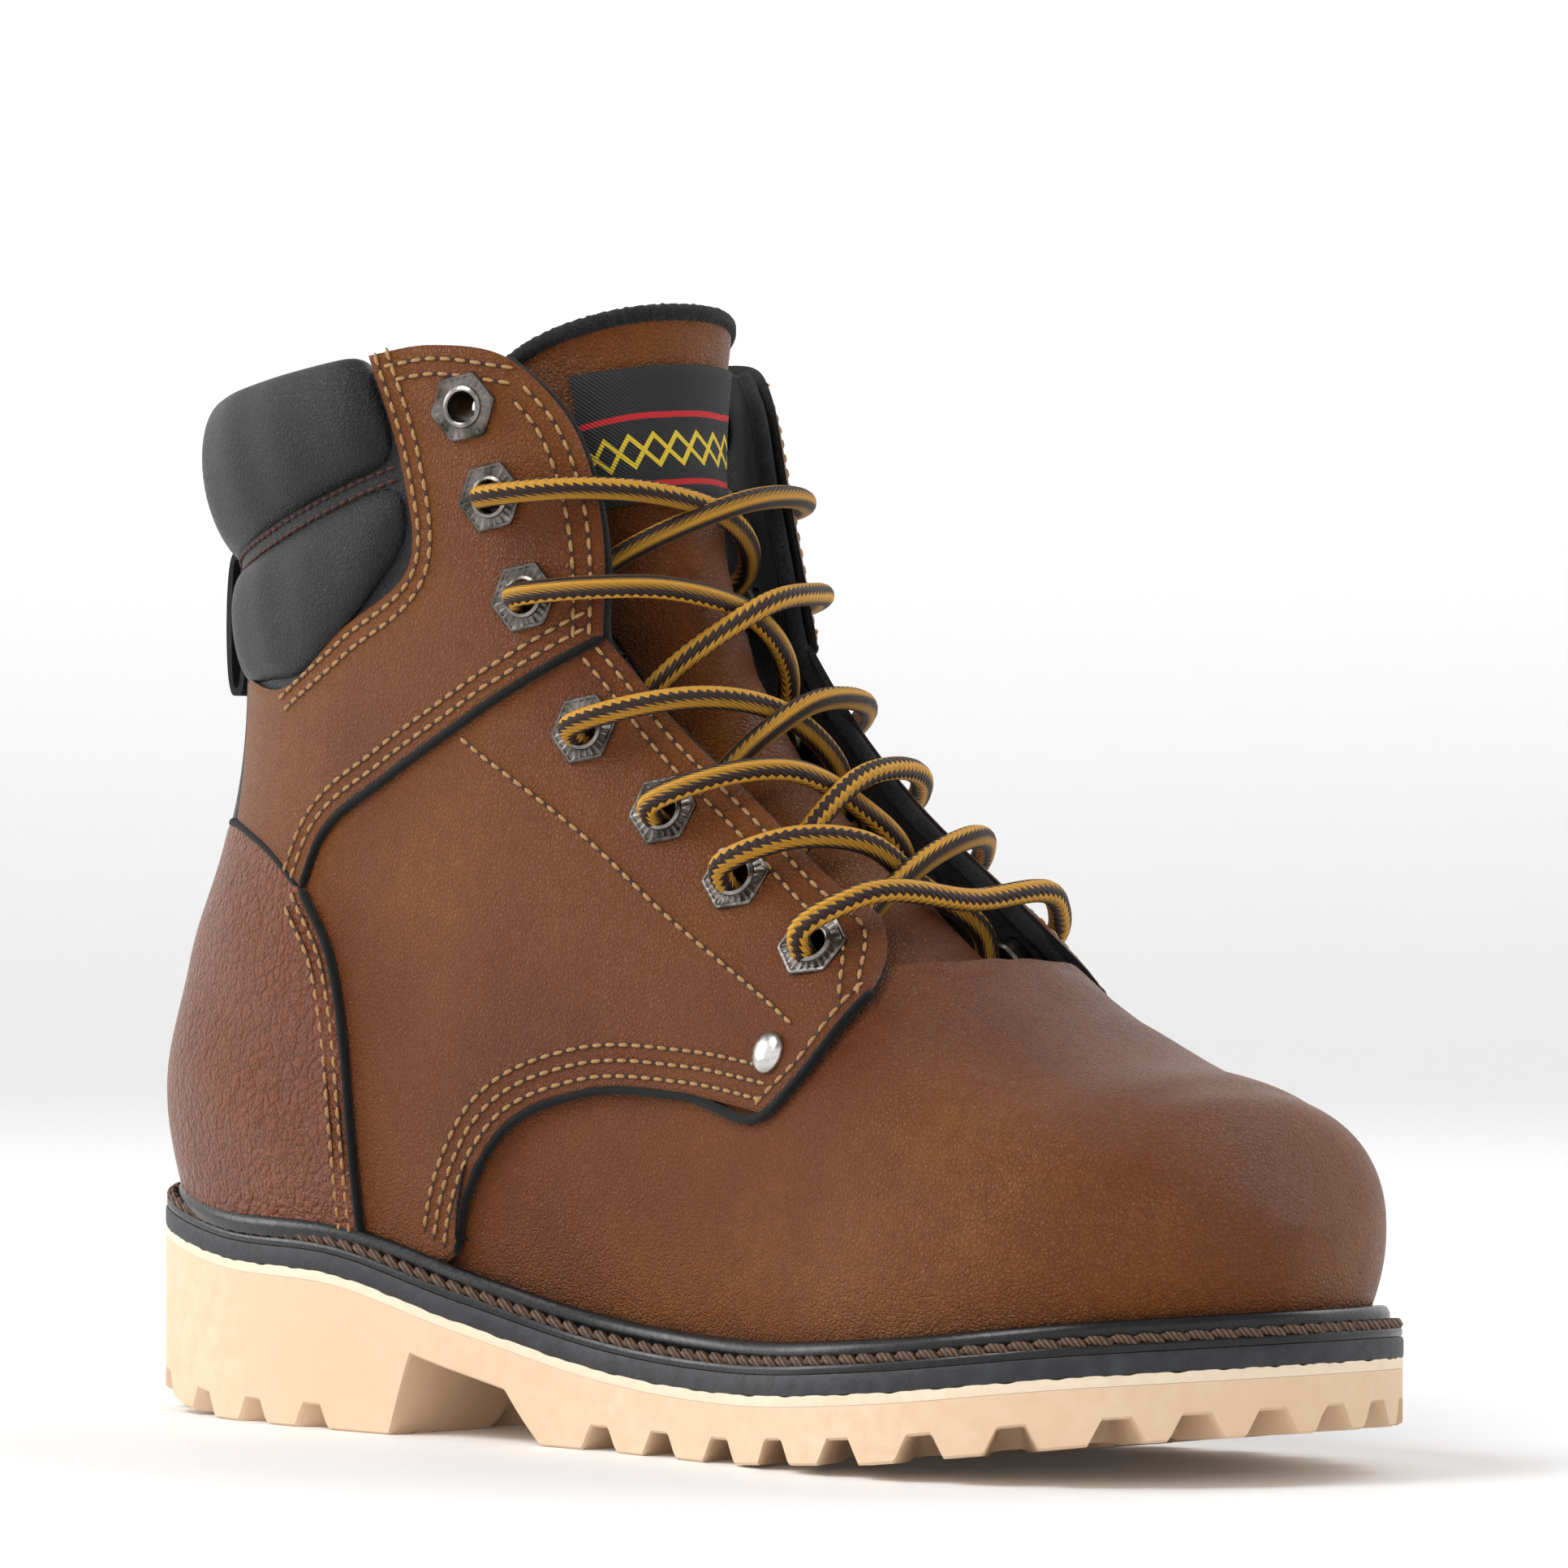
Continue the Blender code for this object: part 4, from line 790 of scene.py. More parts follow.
LOOKS = {
    "brown_leather": look(leather, "pebbled_brown_leather", (0.185, 0.054, 0.011), (0.135, 0.032, 0.012),
                          (0.28, 0.092, 0.013), 950.0, 1.0, 0.0017, 0.40),
    "heel_leather": look(leather, "wrinkled_brown_leather", (0.18, 0.050, 0.016), (0.14, 0.034, 0.016),
                         (0.23, 0.070, 0.016), 330.0, 1.9, 0.0024, 0.34),
    "black_leather": look(leather, "smooth_black_leather", (0.005, 0.005, 0.0055), (0.004, 0.004, 0.0045),
                          (0.008, 0.008, 0.0085), 900.0, 0.25, 0.0003, 0.38),
    "cut_edge": look(felt, "black_cut_edge", (0.004, 0.004, 0.004), (0.02, 0.018, 0.017), 900.0),
    "flesh_side": look(felt, "leather_underside", (0.012, 0.012, 0.013), (0.05, 0.048, 0.045), 500.0),
    "black_felt": look(felt, "black_lining_felt", (0.008, 0.008, 0.009), (0.075, 0.075, 0.08), 900.0),
    "webbing": look(felt, "black_webbing", (0.008, 0.008, 0.009), (0.04, 0.04, 0.042), 1300.0),
    "footbed_cloth": look(felt, "footbed_cloth", (0.03, 0.03, 0.034), (0.12, 0.12, 0.13), 1000.0),
    "cream_rubber": look(rubber, "cream_sole_rubber", (0.74, 0.52, 0.34), (0.78, 0.59, 0.42), 0.62, 0.0003,
                         900.0),
    "pale_rubber": look(rubber, "pale_strip_rubber", (0.84, 0.70, 0.53), (0.78, 0.62, 0.45), 0.66, 0.0005,
                        700.0),
    "midsole_rubber": look(rubber, "midsole_rubber", (0.016, 0.017, 0.020), (0.04, 0.042, 0.048), 0.5,
                           0.0005, 800.0),
    "welt_rubber": look(rubber, "glossy_welt_rubber", (0.006, 0.006, 0.007), (0.012, 0.012, 0.013), 0.26,
                        0.0002, 500.0),
    "cork": look(rubber, "cork_filler", (0.30, 0.17, 0.08), (0.45, 0.30, 0.17), 0.9, 0.001, 300.0),
    "board": look(rubber, "fibre_board", (0.36, 0.26, 0.16), (0.45, 0.34, 0.22), 0.9, 0.0004, 600.0),
    "steel": look(metal, "pressed_steel", (0.55, 0.55, 0.56), (0.35, 0.35, 0.36), 0.35, 0.0001),
    "antique_metal": look(metal, "antique_silver", (0.20, 0.18, 0.165), (0.05, 0.045, 0.04), 0.36, 0.0003),
    "rubbed_metal": look(metal, "rubbed_silver", (0.34, 0.31, 0.29), (0.12, 0.11, 0.10), 0.28, 0.0002),
    "bright_metal": look(metal, "bright_silver", (0.66, 0.65, 0.63), (0.38, 0.37, 0.35), 0.24, 0.0001),
    "tan_thread": look(twisted, "tan_thread", (0.62, 0.38, 0.15), (0.30, 0.15, 0.05), 1500.0, 900.0),
    # Painted shade: dark brown for the strips under the stitch rows, standing in for the stitch line's shade.
    "stitch_groove": look(rubber, "stitch_groove", (0.035, 0.012, 0.006), (0.055, 0.02, 0.01), 0.75, 0.0002,
                          900.0),
    "red_thread": look(twisted, "reddish_thread", (0.16, 0.035, 0.015), (0.04, 0.01, 0.006), 1500.0, 900.0),
    "welt_thread": look(twisted, "brown_welt_thread", (0.20, 0.105, 0.055), (0.03, 0.016, 0.009), 1200.0,
                        420.0),
    "lace": look(braid, "striped_lace", (0.62, 0.30, 0.02), (0.022, 0.007, 0.004)),
    "aglet": look(rubber, "brown_aglet_tip", (0.06, 0.03, 0.02), (0.10, 0.06, 0.04), 0.25, 0.0001, 900.0),
    "label": look(label_cloth, "woven_label"),
}

# ---------------------------------------------------------------- driving sizes and the boot's own lines

# Layers of the finished leather: (outer face, thickness). Panels that lie on others stand higher.
QUARTER_SKIN, SHAFT_SKIN, COUNTER_SKIN = (1.9, 1.9), (3.3, 1.3), (3.3, 1.3)
BACKSTAY_SKIN, VAMP_SKIN, LINING_SKIN = (3.0, 1.0), (-0.1, 1.5), (-4.4, 1.0)
LACE_STRIPES, LACE_PITCH = 4.0, 1.9
LABEL_HEIGHT = 20.0
FLAP_ROWS = (2.2, 5.2)
SEAM_ROWS = (2.4, 5.4, 8.4)


def full_quarter(side):
    """The quarter with margins that run under the counter and the shaft panel: a patch between four seams."""
    right = TIP[::-1] + FACING[::-1][1:]
    bottom = [(-70.0, 38), (-53, 34)] + VAMP_SEAM[::-1]
    left = [(-70, 38)] + [(x - 5, z) for x, z in COUNTER_EDGE[1:-1]] + [(-90, 112)]
    top = [left[-1], *[(x - 2, z + 4) for x, z in SHAFT_SEAM[1:-1]], right[-1]]

    def shape(u, v):
        x, z = coons(bottom, top, left, right, u, v)
        return on_side(x, np.maximum(z, feather_z(x) - 0.5), side)

    return shape


def full_shaft(side):
    """The shaft panel between the counter, the quarter, the facing and the collar."""
    bottom = SHAFT_HEEL + SHAFT_SEAM[1:]
    top = PAD_BORDER[::-1]
    left = [bottom[0], (-115, 135), top[0]]
    right = [bottom[-1]] + SHAFT_FRONT[1:] + [(-44, 215.5), top[-1]]

    def shape(u, v):
        x, z = coons(bottom, top, left, right, u, v)
        return on_side(x, z, side)

    return shape


def full_lining(side):
    """The felt behind the quarter and the shaft, just short of their edges."""
    bottom = [(-64, 36), (-53, 35), (-41, 34), (-34, 50), (-20, 64), (0, 69), (24, 71)]
    right = [(24, 71), (46, 84), (61, 96), (49, 107.5), (12, 135.5), (-8, 156), (-10, 171), (-14, 187),
             (-21, 203)]
    right += [(-30, 212)]
    left = [(-64, 36), (-63, 60), (-66, 83), (-72, 105), (-74, 130), (-66, 155), (-50, 175), (-51, 192),
            (-57, 212)]
    top = [left[-1], (-44, 214), right[-1]]

    def shape(u, v):
        x, z = coons(bottom, top, left, right, u, v)
        return on_side(x, np.maximum(z, feather_z(x) - 0.5), side)

    return shape


def wrapped(x_front, z_low, z_high):
    """A piece wrapped round the heel between z_low(u) and z_high(u), its front edge at x_front(z)."""

    def shape(u, v):
        u = 2 * u - 1
        z = z_low(u) + (z_high(u) - z_low(u)) * v
        end = 1 + 0 * u
        edge_z = z_low(end) + (z_high(end) - z_low(end)) * v
        return wrap_heel(x_front(edge_z), z, u)

    return shape


def counter_x(z):
    return smooth(z, [34, 60, 83, 96, 108, 118], [-66, -65, -68, -73, -83, -100])


def counter_top(u):
    return smooth(np.abs(u), [0, 0.5, 0.6, 0.8, 1], [120, 120, 118.5, 114.5, 108])


def heel_base(u):
    return smooth(np.abs(u), [0, 0.25, 0.5, 0.75, 1], [45, 44, 40, 38, 37])


def vamp_back(v):
    return smooth(np.abs(v), [0, 0.15, 0.22, 0.3, 0.34, 0.37, 0.5, 0.63, 0.8, 1],
                  [75, 72, 66, 50, 20, -14, -34, -42, -48, -50])


def vamp_fan(back, knee, share):
    """A vault over the forefoot by rays from the feather line's middle.

    The first share of the rows stand upright from back(v) to the knee; the rest fan forward about the
    knee's cross line down to the toe, so the last row follows the feather line round the toe.
    """
    low = float(feather_z(knee)) - 1
    end_tilt = math.pi / 2 - math.atan2(float(feather_z(TOE_X)) - 2 - low, TOE_X - knee)

    def shape(u, v):
        v = 2 * v - 1
        turn = v * math.pi / 2
        x = back(v) + (knee - back(v)) * np.clip(u / share, 0, 1)
        tilt = np.clip((u - share) / (1 - share), 0, 1) * end_tilt
        origin = np.stack([x, 0 * x, feather_z(x) - 1.0], -1)
        way = [np.cos(turn) * np.sin(tilt), np.sin(turn), np.cos(turn) * np.cos(tilt)]
        return cast(origin, np.stack(way, -1))

    return shape


def on_tongue(t_low, t_high, narrower, lift, arch=0.0, turn_by=0.0):
    """Part of the tongue: on the throat between two heights, sunk under the laces, deepest at its wings.

    Its top edge falls by arch from the middle to the sides, and its outer wing widens behind the shaft's
    flap.
    """

    def shape(u, v):
        t = t_low + (t_high - arch * np.abs(2 * u - 1) ** 3 - t_low) * v
        half_angle = smooth(t, [0.1, 0.2, 0.35, 0.5, 0.65, 1], [0.66, 0.68, 0.74, 0.82, 0.95, 1.0]) * narrower
        widening = 1 + 0.32 * smooth(t, [0, 0.62, 0.8, 1], [0, 0, 1, 1]) * np.clip(1 - 2 * u, 0, 1)
        angle = (2 * u - 1) * half_angle * widening + turn_by
        points = throat(t, angle)
        ahead = throat(np.minimum(t + 0.004, 1), angle) - throat(np.maximum(t - 0.004, 0), angle)
        across = throat(t, angle + 0.01) - throat(t, angle - 0.01)
        inward = unit(np.cross(ahead, across))
        sink = smooth(t, [0.08, 0.2, 0.78, 0.88, 1], [10, 10.7, 10.7, 7.5, 3.5])
        return points + inward * (sink + TONGUE_WING_SINK * angle**2 - lift)[:, None]

    return shape


def seat(spot, side, height):
    """Where a fitting sits: its middle, and its own three axes with the last along the skin's normal."""
    point = on_side(np.array([spot[0]]), np.array([spot[1]]), side)
    normal = skin_normals(point)[0]
    first = unit(np.cross(normal, [0.35, 0.0, 1.0]))
    return point[0] + normal * height, first, np.cross(normal, first), normal


# ---------------------------------------------------------------- settings


class BootSizes(bpy.types.PropertyGroup):
    """Sizes that a user may change."""

    stitch_pitch: bpy.props.FloatProperty(
        name="Stitch pitch", description="Distance from one stitch to the next", default=0.0034,
        min=0.002, max=0.008, unit="LENGTH", precision=4)
    thread_radius: bpy.props.FloatProperty(
        name="Thread radius", description="Half the thickness of the sewing thread", default=0.00042,
        min=0.0002, max=0.001, unit="LENGTH", precision=5)
    pad_bulge: bpy.props.FloatProperty(
        name="Collar bulge", description="How far the collar rolls stand out of the shaft", default=0.0062,
        min=0.0, max=0.012, unit="LENGTH", precision=4)
    light: bpy.props.FloatProperty(
        name="Studio light", description="Strength of the main light, in watts", default=30.0, min=0.0,
        max=500.0)


class BootColours(bpy.types.PropertyGroup):
    """Colours that a user may change."""

    floor: bpy.props.FloatVectorProperty(
        name="Floor", description="Colour of the studio floor", default=(0.90, 0.90, 0.90), size=3,
        min=0.0, max=1.0, subtype="COLOR")
    sky: bpy.props.FloatVectorProperty(
        name="Surround", description="Colour of the light from all round", default=(1.0, 1.0, 1.0), size=3,
        min=0.0, max=1.0, subtype="COLOR")


# ---------------------------------------------------------------- operators


class BOOT_OT_sole(bpy.types.Operator):
    """Make the lugged outsole, the pale strip, the midsole and the welt with its bead and thread"""

    bl_idname = "boot.sole"
    bl_label = "Sole"

    def execute(self, context):
        self.outsole()
        self.ring("outsole_strip_band", [(0.0, 0.0), (-0.1, 0.9), (0.0, STRIP)], "pale_rubber",
                  "outsole_strip", ragged=0.25)
        self.ring("midsole_band", [(0.0, STRIP + 0.05), (-0.15, STRIP + 0.6), (-0.15, STRIP + MIDSOLE - 0.8),
                                   (0.15, STRIP + MIDSOLE - 0.1)], "midsole_rubber", "midsole")
        base = STRIP + MIDSOLE
        bead = [(0.3, base), (0.1, base + 0.4), (0.1, base + 1.2), (0.4, base + 1.6), (0.9, base + 1.5)]
        bead += [(2.2, base + 1.5), (3.0, base + 1.7)]
        self.ring("welt_band", bead, "welt_rubber", "welt", bead=True)
        path, normals = self.outline(1.35, base + 2.1)
        leaning = unit(normals + 0.6 * unit(np.cross(np.gradient(path, axis=0), normals)))
        thread("welt_stitch", [(path, leaning)], 4.7, 6.3, 1.0, "welt_thread", "boot", slant=0.22)
        for name, look in (("filler", "cork"), ("shank", "steel"), ("insole_board", "board"),
                           ("footbed", "footbed_cloth"),
                           ("steel_toe_cap", "steel"), ("heel_stiffener", "board")):
            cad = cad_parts[name]
            cad.data.materials.clear()
            cad.data.materials.append(LOOKS[look]())
        return {"FINISHED"}

    def outline(self, inset, rise, count=720):
        """The sole's edge moved inward, at the joint line's height plus rise, as a path from the heel."""
        loop = self.sole_edge(inset, count)
        path = np.stack([loop[:, 0], loop[:, 1], joint_z(loop[:, 0]) + rise], -1)
        path = np.concatenate([path, path[:1]])
        return path, np.broadcast_to([0.0, 0.0, 1.0], path.shape)

    def sole_edge(self, inset, count):
        """Points round the sole: x goes as the cosine of the turn, moved in along the outline's normals."""
        turn = np.arange(count) / count * 2 * math.pi
        x = -(SOLE_HALF - 0.01) * np.cos(turn)
        y = np.where(turn < math.pi, -sole_half_width(x, LATERAL), sole_half_width(x, MEDIAL))
        run_x, run_y = np.roll(x, -1) - np.roll(x, 1), np.roll(y, -1) - np.roll(y, 1)
        length = np.hypot(run_x, run_y)
        return np.stack([x - run_y / length * inset, y + run_x / length * inset], -1)

    def ring(self, name, profile, look, node_name, ragged=0.0, bead=False):
        """A closed ring round the sole: a profile of (inset, rise) carried along the outline."""
        count = 720
        inner = 16.0
        rows = [(self.sole_edge(inset, count), rise) for inset, rise in profile]
        if bead:
            turn = np.arange(count) / count * 2 * math.pi
            rows += [(self.upper_edge(turn, inset), rise) for inset, rise in BEAD]
        top = profile[-1][1] if not bead else STRIP + MIDSOLE + 1.9
        rows += [(self.sole_edge(inner, count), top), (self.sole_edge(inner, count), profile[0][1])]
        grid = np.stack([np.concatenate([edge, (joint_z(edge[:, 0]) + rise)[:, None]], -1) for edge,
                         rise in rows], 1)
        if ragged:
            wave = np.sin(np.arange(count) * 0.9) * np.sin(np.arange(count) * 0.37 + 1)
            grid[:, len(profile) - 1, 2] += ragged * wave
        return loft(name, grid, [look], "boot", [node_name], sharp=50, round_first=False)

    def upper_edge(self, turn, inset):
        """The upper's outline at the feather line, moved in along its normals."""
        ends = np.array([HEEL_X, TOE_X])
        origin = np.stack([0.9 * ends, 0 * ends, feather_z(ends)], -1)
        back, front = cast(origin, np.array([[-1.0, 0, 0], [1.0, 0, 0]]))[:, 0]
        x = (back + front) / 2 - (front - back) / 2 * np.cos(turn)
        y = np.where(turn < math.pi, -half_width(x, feather_z(x), LATERAL),
                     half_width(x, feather_z(x), MEDIAL))
        loop = np.stack([x, y], -1)
        for _ in range(60):
            loop = (np.roll(loop, 1, 0) + 2 * loop + np.roll(loop, -1, 0)) / 4
        run = unit(np.roll(loop, -1, 0) - np.roll(loop, 1, 0))
        return loop + np.stack([-run[:, 1], run[:, 0]], -1) * inset

    def outsole(self):
        """The tread block: rings from the outline in to the sole's spine, lifted where a groove runs.

        A groove is a smooth trapezoid of the distance along the outline from its middle.
        """
        count = 1200
        edge = self.sole_edge(0.0, count)
        run = run_length(np.append(edge, edge[:1], 0)[:, None], 0)[:, 0]
        total, run = run[-1], run[:-1]
        share = np.concatenate([[1.0, 1.0, 0.985], np.linspace(0.97, 0.0, 26)])
        spine = np.stack([edge[:, 0] * 0.62, 0 * run], -1)
        depth = np.zeros(count)
        for middle in self.grooves(edge, run):
            gap = np.abs((run - middle + total / 2) % total - total / 2)
            depth = np.maximum(depth, np.clip((GROOVE_WIDTH / 2 + 1.3 - gap) / 2.6, 0, 1))
        rows = []
        for number, part in enumerate(share):
            flat = spine + (edge - spine) * part
            x = flat[:, 0]
            if number == 0:
                rows.append(np.concatenate([flat, (joint_z(x) - 0.05)[:, None]], -1))
                continue
            channel = np.clip(1 - np.abs(part - 0.60) / 0.07, 0, 1) * (np.abs(x + 33) > 30)
            inner = 0.85 * np.clip((part - 0.66) / 0.06, 0, 1) + 0.6 * np.clip((0.54 - part) / 0.06, 0, 1)
            groove = np.maximum(depth * np.maximum(inner, channel), channel * 0.8) * GROOVE_DEPTH
            rising = np.clip((x - HEEL_BREAST_X) / 6, 0, 1) * np.clip((ARCH_END_X - x) / 10, 0, 1)
            z = np.interp(x, TREAD_X, TREAD_Z) * (1 - rising) + (joint_z(x) - ARCH_THICKNESS) * rising
            z = z + groove * (1 - rising) + (0.5 if number == 1 else 0.0)
            rows.append(np.concatenate([flat, z[:, None]], -1))
        lid = np.stack([spine[:, 0], spine[:, 1], joint_z(spine[:, 0]) - 0.05], -1)
        grid = np.stack([lid, *rows], 0)
        return loft("tread_block", grid, ["cream_rubber"], "boot", ["outsole"], sharp=28, round_first=True)

    def grooves(self, edge, run):
        """Where the grooves meet the outline: at the same stations on both sides, and evenly round the
        toe."""
        half = len(edge) // 2
        found = []
        for station in GROOVES_X:
            found.append(run[np.argmin(np.abs(edge[:half, 0] - station))])
            found.append(run[half + np.argmin(np.abs(edge[half:, 0] - station))])
        outer = run[np.argmin(np.abs(edge[:half, 0] - GROOVES_X[-1]))]
        inner = run[half + np.argmin(np.abs(edge[half:, 0] - GROOVES_X[-1]))]
        return found + list(np.linspace(outer, inner, 7)[1:-1])


# The storm welt's bead over the leather, as (inset from the upper's outline, rise above the joint line).
BEAD = [(-4.5, 7.9), (-4.9, 9.0), (-4.9, 10.4), (-4.3, 11.6), (-3.5, 12.0), (-2.7, 11.7), (-2.0, 10.4),
        (-1.6, 7.9)]


class BOOT_OT_upper(bpy.types.Operator):
    """Make the vamp, quarters, shaft panels, counter and backstay in leather, and their felt linings"""

    bl_idname = "boot.upper"
    bl_label = "Upper"

    def execute(self, context):
        skin = ["brown_leather", "flesh_side", "cut_edge"]
        felted = ["flesh_side", "black_felt", "black_felt"]
        shell("vamp_leather", vamp_fan(vamp_back, 82.0, 0.42), (190, 230), VAMP_SKIN, skin, "boot", ["vamp"],
              relief=self.creases)
        shell("toe_lining_felt", vamp_fan(lambda v: 0 * v + 76 - 60 * v**2, 86.0, 0.3), (50, 60),
              (-7.4, 1.0), felted,
              "boot", ["vamp_lining"])
        for label, side in SIDES.items():
            drills = [(*seat(spot, side, 0)[::3], EYELET_BORE + 1.1) for spot in EYELETS]
            shell(f"quarter_{label}_leather", full_quarter(side), (190, 180), QUARTER_SKIN, skin, "boot",
                  [f"quarter_{label}"], drills=drills)
            shell(f"shaft_{label}_leather", full_shaft(side), (130, 130), SHAFT_SKIN, skin, "boot",
                  [f"shaft_panel_{label}"], drills=drills)
            shell(f"quarter_{label}_felt", full_lining(side), (110, 160), (-0.2, 2.4), felted, "boot",
                  [f"quarter_lining_{label}"], drills=drills)
        heel = ["heel_leather", "flesh_side", "cut_edge"]
        shell("counter_leather", wrapped(counter_x, heel_base, counter_top), (200, 90), COUNTER_SKIN, heel,
              "boot",
              ["counter_pocket"], relief=self.heel_wrinkles)
        shell("heel_felt", wrapped(lambda z: smooth(z, [40, 83, 105, 130, 146], [-67, -69, -75, -78, -90]),
                                   heel_base,
              lambda u: 150 + 0 * u), (100, 60), LINING_SKIN, felted, "boot", ["heel_lining"])
        shell("backstay_patch", wrapped(lambda z: BACKSTAY_X + 2 + 0 * z, lambda u: 117 + 0 * u,
                                        lambda u: 152 + 0 * u),
              (60, 40), BACKSTAY_SKIN, ["black_leather", "flesh_side", "cut_edge"], "boot", ["backstay"])
        return {"FINISHED"}

    def creases(self, points, edge):
        """Soft folds behind the toe: cosine-edged valleys across the vamp, fading towards the sole."""
        x, y = points[..., 0], points[..., 1]
        lift = 0 * x
        for place, lean, depth, wide in ((88, 0.10, 0.55, 5.0), (76, -0.06, 0.45, 4.0), (64, 0.12, 0.4, 4.5)):
            off = (x + lean * y + 1.6 * np.sin(y / 9 + place) - place) / wide
            lift = lift - depth * np.exp(-(off**2))
        return lift * np.clip((points[..., 2] - 45) / 25, 0, 1)

    def heel_wrinkles(self, points, edge):
        """Slight unevenness over the heel: two crossing slow waves."""
        return 0.25 * np.sin(points[..., 2] / 5 + points[..., 0] / 9) * np.sin(points[..., 1] / 8)


class BOOT_OT_seams(bpy.types.Operator):
    """Sew the rows of stitches along the panels and lay the black edges"""

    bl_idname = "boot.seams"
    bl_label = "Seams"

    def execute(self, context):
        sizes = context.scene.boot_sizes
        lines = []
        edges = []
        for side in SIDES.values():
            for shift in FLAP_ROWS:
                lines.append(self.row(SHAFT_SEAM, side, shift + 0.6, SHAFT_SKIN[0]))
                lines.append(self.row(SHAFT_FRONT[:-1] + [(-24, 208)], side, shift, SHAFT_SKIN[0]))
                lines.append(self.row([(-27, 212.5), (-44, 215), (-54, 214)], side, shift, SHAFT_SKIN[0]))
                lines.append(self.row(PAD_BORDER[:-1], side, shift, SHAFT_SKIN[0]))
                lines.append(self.row(FACING, side, -shift, QUARTER_SKIN[0]))
                lines.append(self.row(COUNTER_EDGE, side, shift, COUNTER_SKIN[0]))
            lines.append(self.row(TIP, side, -FLAP_ROWS[0], QUARTER_SKIN[0]))
            for shift in SEAM_ROWS:
                lines.append(self.row(VAMP_SEAM, side, -shift, QUARTER_SKIN[0]))
            lines.append(self.row([(-38, 138), (-6, 119), (22, 100), (56, 82)], side, 0, QUARTER_SKIN[0]))
            edges.append(self.row(SHAFT_SEAM, side, -0.2, SHAFT_SKIN[0] - 0.9))
            edges.append(self.row(TIP + VAMP_SEAM[1:], side, 0.2, QUARTER_SKIN[0] - 1.0))
            edges.append(self.row(COUNTER_EDGE, side, -0.2, COUNTER_SKIN[0] - 0.6))
        pitch, radius = sizes.stitch_pitch / MM, sizes.thread_radius / MM
        thread("leather_stitches", lines, pitch, pitch * 0.80, radius, "tan_thread", "boot")
        # Painted shade: a flat dark strip along each stitch row, seen between the stitches.
        piping("stitch_shade_strips", lines, radius * 1.1, 0.14, "stitch_groove", "boot")
        u = np.linspace(-1, 1, 240)
        top = wrap_heel(counter_x(108 + 0 * u), counter_top(u), u)
        edges.append((resample(top, 0.8) + skin_normals(resample(top, 0.8)) * 2.6,
                      skin_normals(resample(top, 0.8))))
        piping("black_edges", edges, 1.0, 0.95, "cut_edge", "boot")
        flap = [self.row([(-30, 213), (-20, 203), (-13, 187), (-9, 171), (-7, 157)] + FACING[1:], side,
                         -0.3, -0.9)
                for side in SIDES.values()]
        piping("felt_flap_edges", flap, 1.0, 1.7, "black_felt", "boot")
        return {"FINISHED"}

    def row(self, points, side, shift, height):
        path, normals = side_line(points, side, shift)
        return path + normals * height, normals


